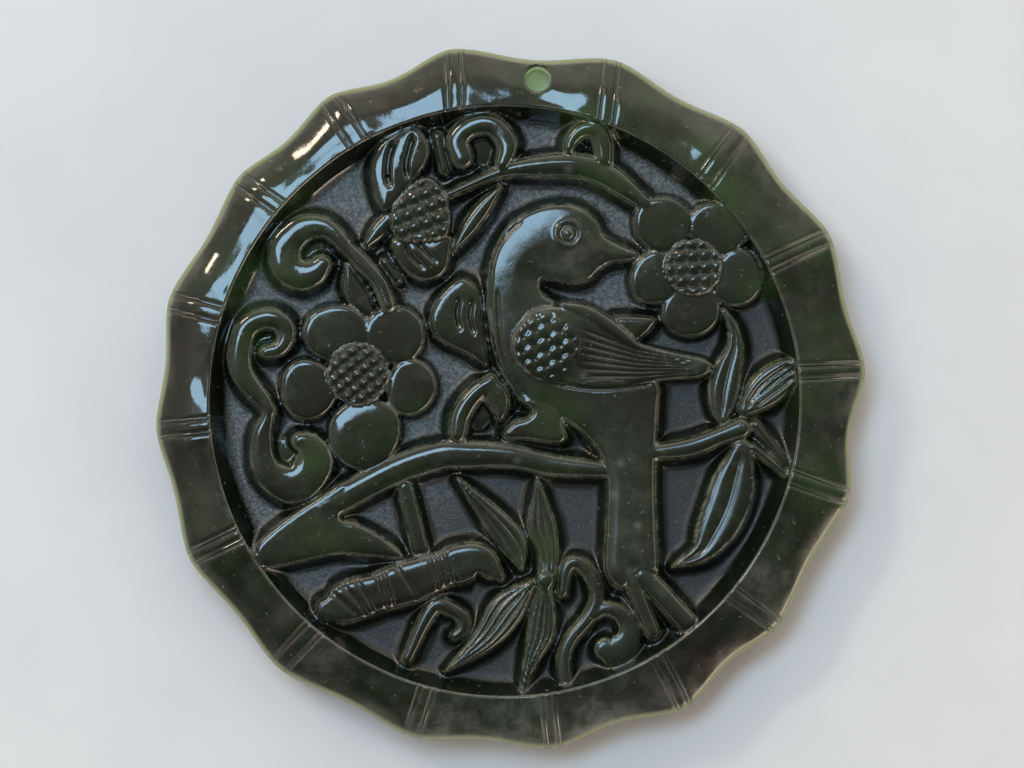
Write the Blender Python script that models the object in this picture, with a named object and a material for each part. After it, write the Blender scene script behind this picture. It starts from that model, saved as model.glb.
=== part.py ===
"""A round jade pendant carved in relief from one piece, lying on its flat back.

The front is a height above the back, worked out for each point of the plan: a rim cut like joints of
bamboo, a sunk field inside it, and on the field a bird on a branch among blossoms, leaves and scrolls.
The mesh follows the outlines of the carving, so each wall and crest is an edge of the solid.
"""

import math

import bmesh
import bpy
import numpy as np
from mathutils import Vector
from mathutils.geometry import delaunay_2d_cdt

MM = 0.001

# The disc. Its plan swells at each joint of the bamboo and draws in between two.
DIAMETER = 56.7 * MM
SCALLOP = 0.85 * MM
THICKNESS = 6.0 * MM
SIDE_TOP = 4.0 * MM  # where the rounded top of the rim meets the side
BACK_ROUND = 0.3 * MM

# The joints of the bamboo, each two lines cut across the rim. They are set out by hand, so each strays a
# little, in order from the one at the right and against the clock: in bearing and lean, in degrees, and
# in how far the joint stands out and how much deeper the bay after it is, in millimetres.
JOINTS = 16
FIRST_JOINT = 4.6
BEARING_STRAY = (0, -0.3, -1.0, 0.2, 5.2, 4.0, 1.4, 2.1, 0.8, -0.3, -0.1, 1.9, 2.6, 2.5, -0.5, 1.6)
LEAN = (-2.6, -2.2, 5.3, 10.6, -8.4, 3.4, 4.3, 1.2, -0.1, -0.4, -2.4, -1.5, -0.2, -1.9, 3.7, -4.1)
SWELL_STRAY = (.15, .33, .03, -.13, -.13, -.27, -.39, .03, .07, .37, .17, -.07, -.05, .23, -.13, -.07)
BAY_STRAY = (-.12, -.04, .03, .35, .18, -.03, -.1, -.15, -.22, -.17, -.11, -.06, .15, .03, -.02, .16)
JOINT_GAP = 1.17 * MM
LINE_WIDTH = 0.5 * MM
LINE_DEPTH = 0.25 * MM
BAY_DIP = 0.2 * MM  # how far the rim sinks between two joints

# The field, a sunk round inside the rim, whose crest is the highest line of the stone
RIM_WIDTH = 4.75 * MM
FIELD_RADIUS = DIAMETER / 2 - RIM_WIDTH
FIELD_OFFSET = (-0.44 * MM, -0.32 * MM)
FIELD_DEPTH = 2.2 * MM
FIELD_WALL = 1.8 * MM

# The hole for the cord, drilled through the rim
HOLE_DIAMETER = 2.1 * MM
HOLE_EDGE = 0.5 * MM  # the stone left between the hole and the side
HOLE_BEARING = math.radians(85)

# The carving is drawn in millimetres on a field of this radius, and scaled to the real one.
DRAWN_FIELD = 23.6
CARVED_WALL = 0.6 * MM  # how far a carved wall spreads from its crest to its foot

# Heights above the field
BIRD = 2.1 * MM
WING = 2.2 * MM
HEART = 2.0 * MM
PETAL = 1.85 * MM
BRANCH = 1.8 * MM
SCROLL = 1.85 * MM
LEAF = 1.6 * MM
BUD = 1.8 * MM
TWIG = 1.3 * MM

# How closely the mesh follows the curves
STEP = 0.9 * MM
RIM_STEP = 1.5 * MM
HIDDEN_BY = 0.15 * MM
MERGE = 0.05 * MM
EDGE_INSET = 0.12 * MM  # the first step in from the side, where the rounded top starts

JADE = (0.028, 0.042, 0.020, 1.0)
JADE_ROUGHNESS = 0.12


def unit(bearing):
    """The direction of a bearing in plan."""
    return np.array([math.cos(bearing), math.sin(bearing)])


def drawn(value):
    """A length of the drawing in metres, at the size of the real field."""
    return value * FIELD_RADIUS / DRAWN_FIELD


def smooth_path(points, step, closed=False):
    """Rows of a Catmull-Rom curve through the given rows, a step apart in plan."""
    rows = np.array(points, float)
    if closed:
        rows = np.vstack([rows[-1], rows, rows[:2]])
    else:
        rows = np.vstack([2 * rows[0] - rows[1], rows, 2 * rows[-1] - rows[-2]])
    pieces = []
    for a, b, c, d in zip(rows, rows[1:], rows[2:], rows[3:]):
        count = max(1, round(np.linalg.norm((c - b)[:2]) / step))
        t = (np.arange(count) / count)[:, None]
        curve = 2 * b + (c - a) * t + (2 * a - 5 * b + 4 * c - d) * t**2
        pieces.append((curve + (3 * b - a - 3 * c + d) * t**3) / 2)
    if not closed:
        pieces.append(rows[-2][None, :])
    return np.vstack(pieces)


def nearest_on_path(points, path):
    """For each point, how far it is from a path and the place on the path as a row number with a share."""
    start, end = path[:-1, :2], path[1:, :2]
    along = end - start
    offset = points[:, None, :] - start[None]
    share = np.clip((offset * along).sum(2) / np.maximum((along**2).sum(1), 1e-18), 0, 1)
    gap = np.linalg.norm(offset - share[..., None] * along, axis=2)
    best = gap.argmin(1)
    rows = np.arange(len(points))
    return gap[rows, best], best + share[rows, best]


def inside(points, outline):
    """Which points lie inside a closed outline, by counting the sides that a ray to the right crosses."""
    ahead = np.roll(outline, -1, axis=0)
    x, y = points[:, 0, None], points[:, 1, None]
    spans = (outline[:, 1] > y) != (ahead[:, 1] > y)
    rise = np.where(ahead[:, 1] == outline[:, 1], 1e-18, ahead[:, 1] - outline[:, 1])
    crossing = outline[:, 0] + (y - outline[:, 1]) * (ahead[:, 0] - outline[:, 0]) / rise
    return (spans & (x < crossing)).sum(1) % 2 == 1


def unit_normals(path):
    """The direction to the left of a path at each of its rows."""
    turn = np.gradient(path, axis=0)
    normal = np.stack([-turn[:, 1], turn[:, 0]], 1)
    return normal / np.maximum(np.linalg.norm(normal, axis=1), 1e-12)[:, None]


def wall(depth_in):
    """A carved wall as a share of its height: 0 at the foot, 1 from the crest line inwards."""
    return np.clip(1 + depth_in / CARVED_WALL, 0, 1) ** 1.3


class Ribbon:
    """A stem, leaf or scroll: a curved spine whose half width changes along it, (x, y, half width) a row."""

    def __init__(self, height, rows, shoulder=0.76):
        self.height = height
        self.shoulder = shoulder
        self.spine = smooth_path([[drawn(value) for value in row] for row in rows], STEP)

    def sides(self, beyond=0.0):
        """The closed line round the ribbon, at its crest or beyond it."""
        normal = unit_normals(self.spine[:, :2])
        reach = self.spine[:, 2:] + beyond
        left, right = self.spine[:, :2] + normal * reach, self.spine[:, :2] - normal * reach
        ends = []
        for row, ahead in ((-1, 1), (0, -1)):
            out = np.array([normal[row][1], -normal[row][0]]) * ahead
            ends.append(self.spine[row, :2] + out * reach[row])
        return np.vstack([left, ends[0], right[::-1], ends[1]])

    def lines(self):
        """The foot, the crest line and the spine: rows, whether they close, and which of them count."""
        for beyond in (CARVED_WALL, 0.0):
            rows = self.sides(beyond)
            yield rows, True, np.ones(len(rows), bool)
        if self.spine[:, 2].max() > CARVED_WALL:
            yield self.spine[:, :2], False, self.spine[:, 2] > CARVED_WALL / 2

    def rise(self, points):
        gap, place = nearest_on_path(points, self.spine)
        half = np.interp(place, np.arange(len(self.spine)), self.spine[:, 2])
        across = np.clip(gap / np.maximum(half, 1e-9), 0, 1)
        dome = self.shoulder + (1 - self.shoulder) * (1 - across**2)
        return wall(half - gap) * dome * self.height


class Pebble:
    """A closed form with a rounded top, given by its crest line and how far in the top grows level."""

    def __init__(self, height, outline, crown, shoulder=0.74):
        self.height = height
        self.crown = drawn(crown)
        self.shoulder = shoulder
        self.outline = smooth_path([[drawn(value) for value in row] for row in outline], STEP, True)

    def inset(self, distance):
        """The outline moved inwards, or outwards where the distance is negative."""
        around = np.vstack([self.outline[-1:], self.outline, self.outline[:1]])
        ahead = np.roll(self.outline, -1, axis=0)
        area = (self.outline[:, 0] * ahead[:, 1] - ahead[:, 0] * self.outline[:, 1]).sum()
        return self.outline + unit_normals(around)[1:-1] * distance * (1 if area > 0 else -1)

    def lines(self):
        """The foot, the crest line and a ring on the dome: rows, whether they close, and which count."""
        for beyond in (CARVED_WALL, 0.0):
            rows = self.inset(-beyond)
            yield rows, True, np.ones(len(rows), bool)
        within = self.inset(self.crown * 0.6)[::2]
        gap, _ = nearest_on_path(within, self.loop())
        yield within, True, gap > self.crown * 0.55

    def loop(self):
        return np.vstack([self.outline, self.outline[:1]])

    def rise(self, points):
        gap, _ = nearest_on_path(points, self.loop())
        depth_in = np.where(inside(points, self.outline), gap, -gap)
        over = 1 - np.clip(depth_in / self.crown, 0, 1)
        dome = self.shoulder + (1 - self.shoulder) * np.sqrt(1 - over**2)
        return wall(depth_in) * dome * self.height


def round_outline(x, y, radius, other=None, tilt=0.0, corners=8):
    """Points round an ellipse, in the drawing's millimetres."""
    other = radius if other is None else other
    rows = []
    for turn in range(corners):
        angle = 2 * math.pi * turn / corners
        along, across = radius * math.cos(angle), other * math.sin(angle)
        lean = math.radians(tilt)
        rows.append((
            x + along * math.cos(lean) - across * math.sin(lean),
            y + along * math.sin(lean) + across * math.cos(lean),
        ))
    return rows


def petal(height, x, y, radius, other=None, tilt=0.0):
    return Pebble(height, round_outline(x, y, radius, other, tilt), crown=1.4, shoulder=0.7)


def blossom(x, y, heart, petals):
    """A flower seen from the front: a raised heart of seeds among domed petals."""
    forms = [petal(PETAL, *place) for place in petals]
    forms.append(Pebble(HEART, round_outline(x, y, heart), crown=0.9, shoulder=0.8))
    return forms


def bird():
    """The bird, its head to the right, with a scaled shoulder, a long wing and a tail that hangs down."""
    body = [
        (4.0, 15.4), (5.6, 15.1), (6.8, 14.2), (7.4, 13.0), (8.6, 12.2), (10.2, 11.5), (9.8, 10.9),
        (8.2, 10.7), (7.2, 10.2), (6.4, 9.4), (5.0, 9.0), (3.4, 9.3), (2.5, 9.4), (2.4, 8.6), (3.2, 7.8),
        (4.8, 7.1), (7.2, 5.8), (10.4, 3.8), (11.7, 1.0), (11.6, -2.6), (8.8, -3.4), (7.0, -4.2),
        (6.0, -2.8), (4.5, -1.7), (3.2, -1.2), (1.6, -0.9), (0.2, 0.7), (-0.8, 2.3), (-1.4, 4.2),
        (-1.7, 6.2), (-1.8, 7.8), (-1.8, 9.8), (-1.5, 11.1), (-0.8, 12.7), (0.2, 14.0), (2.0, 15.0),
    ]
    thigh = [(0.8, -0.2), (1.7, -1.0), (1.4, -1.6), (0.4, -1.9), (-0.2, -2.4), (-0.6, -3.0), (0.0, -3.4),
             (1.2, -3.4), (2.8, -3.6), (4.0, -3.7), (4.5, -3.2), (4.2, -2.2), (4.0, -1.0), (2.8, -0.1)]
    tail = [(6.8, 0.6), (11.0, 1.4), (11.8, -0.6), (11.7, -3.6), (11.6, -7.0), (11.7, -10.4), (11.8, -13.4),
            (11.6, -13.9), (10.6, -13.8), (9.9, -14.2), (9.4, -15.1), (8.7, -15.3), (7.9, -14.6), (7.5, -13.4),
            (7.6, -11.0), (7.7, -7.6), (7.5, -5.2), (6.6, -3.6), (5.6, -1.8)]
    return [
        Pebble(BIRD, body, crown=2.2),
        Pebble(WING, round_outline(2.7, 4.1, 2.9, 2.7), crown=1.2, shoulder=0.92),
        Ribbon(WING, [(4.0, 3.6, 2.6), (7.2, 3.0, 2.0), (9.6, 2.4, 1.5), (12.4, 2.2, 1.0), (15.2, 2.3, 0.7)]),
        Ribbon(BIRD, [(7.2, 5.8, 0.6), (9.8, 5.4, 0.95), (11.7, 6.0, 0.25)]),
        Pebble(BIRD, tail, crown=1.6, shoulder=0.88),
        Ribbon(BRANCH, [(9.6, -14.4, 0.64), (11.4, -18.8, 0.59)]),
        Ribbon(BRANCH, [(10.6, -14.2, 0.84), (14.1, -18.0, 0.84)]),
        Pebble(BIRD, thigh, crown=1.0),
    ]


def blossoms():
    """Two whole flowers, and one in profile at the upper left."""
    forms = blossom(-12.1, 1.8, 2.4, [
        (-13.9, 5.1, 2.3, 2.1), (-9.2, 5.0, 2.2, 2.1), (-7.9, 0.8, 1.7, 1.9), (-11.6, -2.9, 2.65, 2.55),
        (-16.1, 0.6, 2.1),
    ])
    forms += blossom(14.6, 10.3, 2.2, [
        (12.2, 13.8, 1.9), (16.6, 13.5, 2.0), (18.1, 9.5, 1.8), (14.4, 7.0, 2.0), (11.6, 9.5, 1.8),
    ])
    cone = [(-9.0, 12.7), (-9.4, 14.6), (-8.4, 16.2), (-6.8, 17.4), (-5.6, 16.7), (-5.0, 15.4),
            (-5.0, 13.0), (-6.8, 12.5)]
    upper = [(-10.0, 14.8), (-11.0, 17.0), (-11.0, 19.0), (-10.0, 20.6), (-7.8, 21.5), (-6.6, 20.2),
             (-6.8, 18.6), (-8.0, 17.0)]
    lower = [(-9.1, 12.7), (-9.2, 11.4), (-8.0, 9.8), (-6.6, 9.3), (-5.2, 10.0), (-4.8, 11.8), (-5.0, 12.9)]
    forms += [
        Pebble(PETAL, upper, crown=1.4),
        Pebble(PETAL, lower, crown=1.4),
        Pebble(HEART, cone, crown=0.9, shoulder=0.8),
        Ribbon(TWIG, [(-11.4, 12.2, 0.31), (-10.4, 13.4, 0.61), (-9.5, 14.4, 0.51)]),
        Ribbon(LEAF, [(-0.8, 16.7, 0.2), (-2.2, 15.0, 0.65), (-3.5, 13.2, 0.6), (-4.4, 11.8, 0.2)]),
        Ribbon(TWIG, [(-5.8, 20.8, 0.41), (-5.2, 18.2, 0.41)]),
    ]
    return forms


def branches():
    """The branch that the bird stands on, its fork, and the arched one above the bird."""
    fork = [(-19.8, -11.3), (-17.6, -9.5), (-15.0, -7.8), (-13.2, -6.8), (-12.6, -8.2), (-13.6, -9.6),
            (-12.0, -10.2), (-10.0, -11.3), (-8.6, -12.8), (-11.2, -12.7), (-13.6, -12.5),
            (-16.0, -13.0), (-18.4, -13.5), (-19.8, -13.4), (-20.4, -12.4)]
    return [
        Ribbon(BRANCH, [(7.2, -5.8, 0.64), (3.2, -5.4, 0.84), (0.0, -4.7, 0.89), (-3.2, -4.6, 1.04),
                        (-5.6, -4.7, 1.09), (-8.8, -5.7, 1.09), (-12.0, -7.3, 1.09), (-15.0, -9.0, 1.04)]),
        Pebble(BRANCH, fork, crown=1.6),
        Ribbon(BRANCH, [(11.6, -4.4, 0.64), (14.4, -4.0, 0.79), (16.8, -3.1, 0.74), (18.4, -2.5, 0.84)]),
        Ribbon(BRANCH, [(-4.8, 16.2, 0.34), (-0.8, 17.9, 0.54), (2.4, 18.4, 0.89), (5.6, 18.4, 0.99),
                        (8.0, 17.5, 0.99), (10.8, 15.4, 0.64)]),
        Ribbon(SCROLL, [(7.5, 19.0, 0.68), (7.4, 20.2, 0.78), (6.9, 21.3, 0.78), (5.8, 21.3, 0.68),
                        (5.0, 20.6, 0.58), (4.7, 19.8, 0.48)]),
        Ribbon(TWIG, [(-8.4, -7.2, 0.61), (-7.2, -12.1, 0.66)]),
        Ribbon(TWIG, [(-10.0, 10.8, 0.36), (-9.0, 9.4, 0.36)]),
    ]


def scrolls():
    """The curls of the plant, each one ribbon that winds in on itself."""
    return [
        Ribbon(SCROLL, [(-3.8, 19.1, 0.83), (-4.2, 20.5, 0.83), (-3.3, 21.5, 0.83), (-1.8, 21.8, 0.83),
                        (-0.8, 21.2, 0.83), (-0.2, 20.0, 0.78), (-0.6, 18.6, 0.58)]),
        Ribbon(SCROLL, [(-9.7, 7.3, 0.53), (-10.4, 9.1, 0.58), (-11.9, 10.8, 0.63), (-13.0, 11.9, 0.58),
                        (-14.2, 13.2, 0.73), (-15.2, 13.6, 0.88), (-16.6, 13.4, 1.08), (-17.7, 12.4, 1.23),
                        (-18.0, 11.3, 1.28), (-17.6, 10.2, 1.23), (-16.6, 9.7, 1.18), (-15.6, 10.0, 1.03),
                        (-15.0, 10.6, 0.73)]),
        Ribbon(SCROLL, [(-19.4, 3.6, 0.58), (-18.5, 3.8, 0.63), (-17.9, 4.6, 0.68), (-18.0, 5.6, 0.78),
                        (-18.8, 6.2, 0.83), (-19.8, 6.2, 0.83), (-20.9, 5.6, 0.88), (-21.4, 4.5, 0.88),
                        (-21.6, 3.1, 0.88), (-21.3, 1.8, 0.83), (-20.5, 0.6, 0.78), (-19.7, -0.3, 0.68),
                        (-19.2, -1.1, 0.53)]),
        Ribbon(SCROLL, [(-19.3, -0.9, 0.43), (-19.4, -1.8, 0.53), (-19.8, -3.0, 0.78), (-19.8, -4.4, 0.88),
                        (-19.5, -5.7, 1.03), (-18.6, -6.6, 1.23), (-17.3, -7.0, 1.48), (-16.1, -6.2, 1.48),
                        (-15.7, -4.9, 1.48), (-16.2, -3.8, 1.08), (-16.7, -3.5, 0.68)]),
        Ribbon(SCROLL, [(-1.5, 1.3, 0.53), (-2.5, 0.5, 0.73), (-3.4, -0.5, 0.78), (-4.0, -1.7, 0.78),
                        (-4.2, -3.0, 0.68)]),
        Ribbon(SCROLL, [(-1.7, 1.0, 0.68), (-1.1, 0.1, 0.98), (-0.8, -0.9, 0.73), (-0.8, -1.5, 0.43)]),
        Ribbon(TWIG, [(-8.2, -20.9, 0.46), (-6.8, -17.8, 0.56), (-5.8, -16.6, 0.61), (-4.6, -17.0, 0.61),
                      (-3.8, -17.6, 0.56), (-3.8, -18.6, 0.56), (-4.4, -19.1, 0.41)]),
        Ribbon(TWIG, [(4.2, -15.6, 0.41), (4.5, -13.7, 0.51), (5.4, -13.2, 0.56), (6.6, -14.5, 0.56),
                      (6.9, -16.2, 0.56), (6.2, -17.7, 0.56), (4.8, -19.4, 0.56), (4.3, -21.0, 0.56),
                      (4.5, -23.3, 0.56)]),
        Ribbon(TWIG, [(6.4, -18.0, 0.46), (8.0, -17.1, 0.56), (9.4, -18.0, 0.71), (9.9, -19.4, 0.81),
                      (9.3, -20.6, 0.81), (8.2, -21.0, 0.76), (7.5, -20.1, 0.56), (7.6, -19.4, 0.41)]),
    ]


def leaves():
    """The leaves, each a ribbon that swells and comes to a point."""
    behind_bird = [(-4.0, 9.5), (-5.4, 8.4), (-6.3, 6.8), (-6.3, 5.5), (-5.4, 4.4), (-3.4, 3.4),
                   (-1.8, 2.5), (-2.1, 5.4), (-2.4, 7.8), (-2.9, 9.0)]
    return [
        Pebble(LEAF, behind_bird, crown=1.4),
        Ribbon(LEAF, [(-13.0, 10.5, 0.2), (-12.6, 8.9, 0.8), (-11.7, 7.4, 0.8), (-10.8, 6.5, 0.2)]),
        Ribbon(LEAF, [(-4.2, -6.5, 0.1), (-1.4, -9.6, 0.9), (0.3, -11.8, 1.05), (0.9, -13.6, 0.2)]),
        Ribbon(LEAF, [(2.2, -6.5, 0.1), (2.3, -8.2, 0.6), (2.5, -10.2, 1.1), (3.0, -12.2, 0.85),
                      (3.0, -14.2, 0.7)]),
        Pebble(BRANCH, round_outline(2.8, -14.6, 0.8), crown=0.7),
        Ribbon(LEAF, [(1.6, -15.0, 0.5), (-0.2, -16.9, 1.35), (-2.0, -19.3, 1.0), (-5.0, -21.8, 0.1)]),
        Ribbon(LEAF, [(2.8, -15.3, 0.5), (2.6, -17.4, 1.0), (2.4, -19.0, 1.05), (1.8, -20.6, 0.7),
                      (1.3, -22.2, 0.4), (0.9, -23.8, 0.25)]),
        Ribbon(LEAF, [(17.0, 7.0, 0.15), (17.8, 5.5, 0.4), (17.9, 3.9, 0.7), (17.4, 2.2, 1.1),
                      (17.0, 0.4, 1.2), (16.9, -1.2, 0.75), (17.0, -1.9, 0.3)]),
        Ribbon(LEAF, [(18.6, -1.0, 0.3), (19.8, 0.9, 0.7), (21.4, 2.2, 0.6), (23.0, 2.8, 0.3)]),
        Ribbon(LEAF, [(18.8, -1.2, 0.3), (20.8, 0.1, 0.7), (22.4, 1.4, 0.55), (23.0, 2.0, 0.2)]),
        Ribbon(LEAF, [(19.6, -2.2, 0.4), (22.0, -5.2, 0.4)]),
        Ribbon(LEAF, [(19.4, -4.0, 0.35), (22.4, -6.5, 0.35)]),
        Ribbon(LEAF, [(18.5, -4.2, 0.8), (17.9, -6.5, 1.6), (17.3, -8.6, 1.75), (16.4, -10.6, 1.55),
                      (15.2, -12.4, 0.9), (13.0, -13.5, 0.1)]),
    ]


def ringed_bud():
    """The long bud at the lower left, a barrel in three lengths with a neck between each two."""
    return [
        Ribbon(BUD, [(-14.4, -16.9, 1.0), (-13.8, -16.7, 1.6), (-12.6, -16.2, 1.8), (-11.2, -15.8, 1.7),
                      (-10.4, -15.5, 1.6)], shoulder=0.66),
        Ribbon(BUD, [(-10.2, -15.45, 1.8), (-8.8, -15.0, 1.85), (-7.4, -14.55, 1.75), (-5.7, -13.9, 1.55)],
               shoulder=0.66),
        Ribbon(BUD, [(-5.4, -13.8, 1.4), (-4.0, -13.4, 1.6), (-2.4, -13.2, 1.35), (-1.3, -13.6, 0.8)],
               shoulder=0.7),
    ]


class Disc:
    """The rim and the field, without the carving."""

    def __init__(self):
        numbers = np.arange(JOINTS)
        stray = numbers % len(BEARING_STRAY)
        even = FIRST_JOINT + 360 / JOINTS * numbers
        self.joints = np.radians(even + np.array(BEARING_STRAY)[stray])
        self.leans = np.radians(np.array(LEAN)[stray])
        self.swell = MM * np.array(SWELL_STRAY)[stray]
        self.bays = SCALLOP + MM * np.array(BAY_STRAY)[stray]
        self.middle = np.zeros(2)
        edge = self.outline(np.linspace(0, 2 * math.pi, 720, endpoint=False))
        self.middle = (edge.max(0) + edge.min(0)) / 2

    def place(self, bearing):
        """The joint before a bearing, and the share of its bay that is passed there."""
        joints = np.append(self.joints, self.joints[0] + 2 * math.pi)
        bearing = (bearing - joints[0]) % (2 * math.pi) + joints[0]
        place = np.interp(bearing, joints, np.arange(len(joints)))
        joint = np.minimum(place.astype(int), JOINTS - 1)
        return joint, place - joint

    def between(self, bearing):
        """How far a bearing lies between its two joints, 0 at a joint and 1 halfway."""
        return np.sin(math.pi * self.place(bearing)[1]) ** 1.6

    def reach(self, bearing):
        """The radius of the outline."""
        joint, passed = self.place(bearing)
        ahead = self.swell[(joint + 1) % JOINTS]
        blend = (1 - np.cos(math.pi * passed)) / 2
        swell = self.swell[joint] * (1 - blend) + ahead * blend
        return DIAMETER / 2 + swell - self.bays[joint] * self.between(bearing)

    def outline(self, bearing, inset=0.0):
        radius = self.reach(bearing) - inset
        return np.stack([radius * np.cos(bearing), radius * np.sin(bearing)], 1) - self.middle

    def height(self, points):
        """The rim, rounded from its crest out to the side, and the wall down to the field."""
        plan = points + self.middle
        bearing = np.arctan2(plan[:, 1], plan[:, 0])
        from_side = self.reach(bearing) - np.linalg.norm(plan, axis=1)
        from_crest = np.linalg.norm(plan - np.array(FIELD_OFFSET), axis=1) - FIELD_RADIUS
        width = np.maximum(from_side + from_crest, EDGE_INSET)
        over = np.clip(from_crest / width, 0, 1)
        rim = SIDE_TOP + (THICKNESS - SIDE_TOP) * np.sqrt(1 - over**2)
        rim -= BAY_DIP * self.between(bearing) * np.clip(2 * from_side / width, 0, 1)
        rim -= LINE_DEPTH * self.cut(plan) * (from_crest > -LINE_WIDTH / 2)
        fall = np.sin(np.clip(-from_crest / FIELD_WALL, 0, 1) * math.pi / 2)
        return np.where(from_crest < 0, rim - (rim - THICKNESS + FIELD_DEPTH) * fall, rim)

    def joint_frames(self):
        """The middle of each joint on the rim, and the direction of its lines."""
        middle = FIELD_RADIUS + (DIAMETER / 2 - FIELD_RADIUS) / 2
        for joint, lean in zip(self.joints, self.leans):
            yield middle * unit(joint), unit(joint + lean)

    def cut(self, plan):
        """The depth of the lines across the rim, as a share: 1 along the bottom of one, 0 beside it."""
        depth = np.zeros(len(plan))
        for middle, ahead in self.joint_frames():
            offset = plan - middle
            near = np.linalg.norm(offset, axis=1) < DIAMETER / 2 - FIELD_RADIUS
            off = offset[:, 1] * ahead[0] - offset[:, 0] * ahead[1]
            for side in (-1, 1):
                share = 1 - np.abs(off - side * JOINT_GAP / 2) * 2 / LINE_WIDTH
                depth = np.maximum(depth, np.where(near, share, 0))
        return depth

    def joint_lines(self):
        """The edges and the bottom of each line cut across the rim."""
        half = (DIAMETER / 2 - FIELD_RADIUS) / 2
        for middle, ahead in self.joint_frames():
            side = np.array([-ahead[1], ahead[0]])
            for cut in (-1, 1):
                for off in (-1, 0, 1):
                    start = middle + side * (cut * JOINT_GAP + off * LINE_WIDTH) / 2
                    yield start + ahead * np.linspace(-half * 0.95, half * 0.75, 3)[:, None] - self.middle

    def circle(self, radius, step):
        """A round about the middle of the field."""
        turn = np.linspace(0, 2 * math.pi, round(2 * math.pi * radius / step), endpoint=False)
        ring = radius * np.stack([np.cos(turn), np.sin(turn)], 1)
        return ring + np.array(FIELD_OFFSET) - self.middle

    def bearings(self):
        """Bearings round the outline, an even number of steps to each bay."""
        steps = max(4, round(math.pi * DIAMETER / JOINTS / RIM_STEP))
        joints = np.append(self.joints, self.joints[0] + 2 * math.pi)
        bays = [np.linspace(a, b, steps, endpoint=False) for a, b in zip(joints, joints[1:])]
        return np.concatenate(bays)

    def hole(self, corners=16):
        """The middle and the edge of the cord hole."""
        centre = self.outline(np.array([HOLE_BEARING]), HOLE_EDGE + HOLE_DIAMETER / 2)[0]
        turn = np.linspace(0, 2 * math.pi, corners, endpoint=False)
        return centre, centre + HOLE_DIAMETER / 2 * np.stack([np.cos(turn), np.sin(turn)], 1)


def carving():
    return bird() + blossoms() + branches() + scrolls() + leaves() + ringed_bud()


def carved_height(points, disc, forms):
    """The front's height: the disc, or the highest form of the carving that covers the point."""
    height = disc.height(points)
    field = THICKNESS - FIELD_DEPTH
    for form in forms:
        height = np.maximum(height, field + form.rise(points + disc.middle))
    return np.minimum(height, THICKNESS)


class Plan:
    """Points and the lines between them, in plan."""

    def __init__(self):
        self.points = []
        self.lines = []

    def add(self, rows, closed, keep=None):
        first = len(self.points)
        keep = np.ones(len(rows), bool) if keep is None else keep
        numbers = {}
        for number, row in enumerate(rows):
            if keep[number]:
                numbers[number] = first + len(numbers)
                self.points.append(Vector(row))
        last = len(rows) if closed else len(rows) - 1
        for number in range(last):
            ahead = (number + 1) % len(rows)
            if keep[number] and keep[ahead]:
                self.lines.append((numbers[number], numbers[ahead]))


def front_plan(disc, forms):
    """The lines that the front's mesh follows, without those that a higher form covers."""
    plan = Plan()
    plan.add(disc.outline(disc.bearings(), EDGE_INSET), True)
    centre, ring = disc.hole()
    plan.add(ring, True)
    rim = DIAMETER / 2 - FIELD_RADIUS
    rings = [disc.outline(disc.bearings(), rim * share) for share in (0.12, 0.4)]
    rings.append(disc.circle(FIELD_RADIUS + rim * 0.25, RIM_STEP))
    rings.append(disc.circle(FIELD_RADIUS, RIM_STEP))
    for rows in [*rings, *disc.joint_lines()]:
        plan.add(rows, False, np.linalg.norm(rows - centre, axis=1) > HOLE_DIAMETER * 0.6)
    for share in (0.45, 1.0):
        rows = disc.circle(FIELD_RADIUS - FIELD_WALL * share, RIM_STEP)
        covered = carved_height(rows, disc, forms) > disc.height(rows) + HIDDEN_BY
        plan.add(rows, False, ~covered)
    for form in forms:
        for rows, closed, counts in form.lines():
            top = carved_height(rows - disc.middle, disc, forms)
            own = THICKNESS - FIELD_DEPTH + form.rise(rows)
            within = np.linalg.norm(rows - np.array(FIELD_OFFSET), axis=1)
            counts = counts & (top < own + HIDDEN_BY) & (within < FIELD_RADIUS)
            plan.add(rows - disc.middle, closed, counts)
    return plan


def loops_of_edge(faces):
    """The closed loops of corners along which a mesh ends."""
    ahead = {}
    used = {(a, b) for face in faces for a, b in zip(face, face[1:] + face[:1])}
    for a, b in used:
        if (b, a) not in used:
            ahead[a] = b
    loops = []
    while ahead:
        start, corner = ahead.popitem()
        loop = [start]
        while corner != start:
            loop.append(corner)
            corner = ahead.pop(corner)
        loops.append(loop)
    return loops


def front_mesh(disc, forms):
    """Corners with their heights and triangles of the front, inside the outline and outside the hole."""
    plan = front_plan(disc, forms)
    rows, _, faces, _, _, _ = delaunay_2d_cdt(plan.points, plan.lines, [], 0, MERGE)
    corners = np.array([tuple(row) for row in rows])
    faces = [list(face) for face in faces]
    middles = np.array([corners[face].mean(0) for face in faces])
    centre, ring = disc.hole()
    keep = inside(middles, disc.outline(disc.bearings(), EDGE_INSET)) & ~inside(middles, ring)
    faces = [face for face, kept in zip(faces, keep) if kept]
    return corners, carved_height(corners, disc, forms), faces


def build_pendant():
    disc = Disc()
    forms = carving()
    corners, heights, faces = front_mesh(disc, forms)
    mesh = bmesh.new()
    top = {}
    for number in sorted({corner for face in faces for corner in face}):
        top[number] = mesh.verts.new((*corners[number], heights[number]))
    for face in faces:
        mesh.faces.new([top[number] for number in face])
    loops = sorted(loops_of_edge(faces), key=len)
    close_hole_and_side(mesh, disc, corners, top, loops)
    data = bpy.data.meshes.new("pendant")
    bmesh.ops.recalc_face_normals(mesh, faces=mesh.faces)
    mesh.to_mesh(data)
    mesh.free()
    data.shade_smooth()
    data.set_sharp_from_angle(angle=math.radians(38))
    return data


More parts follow.
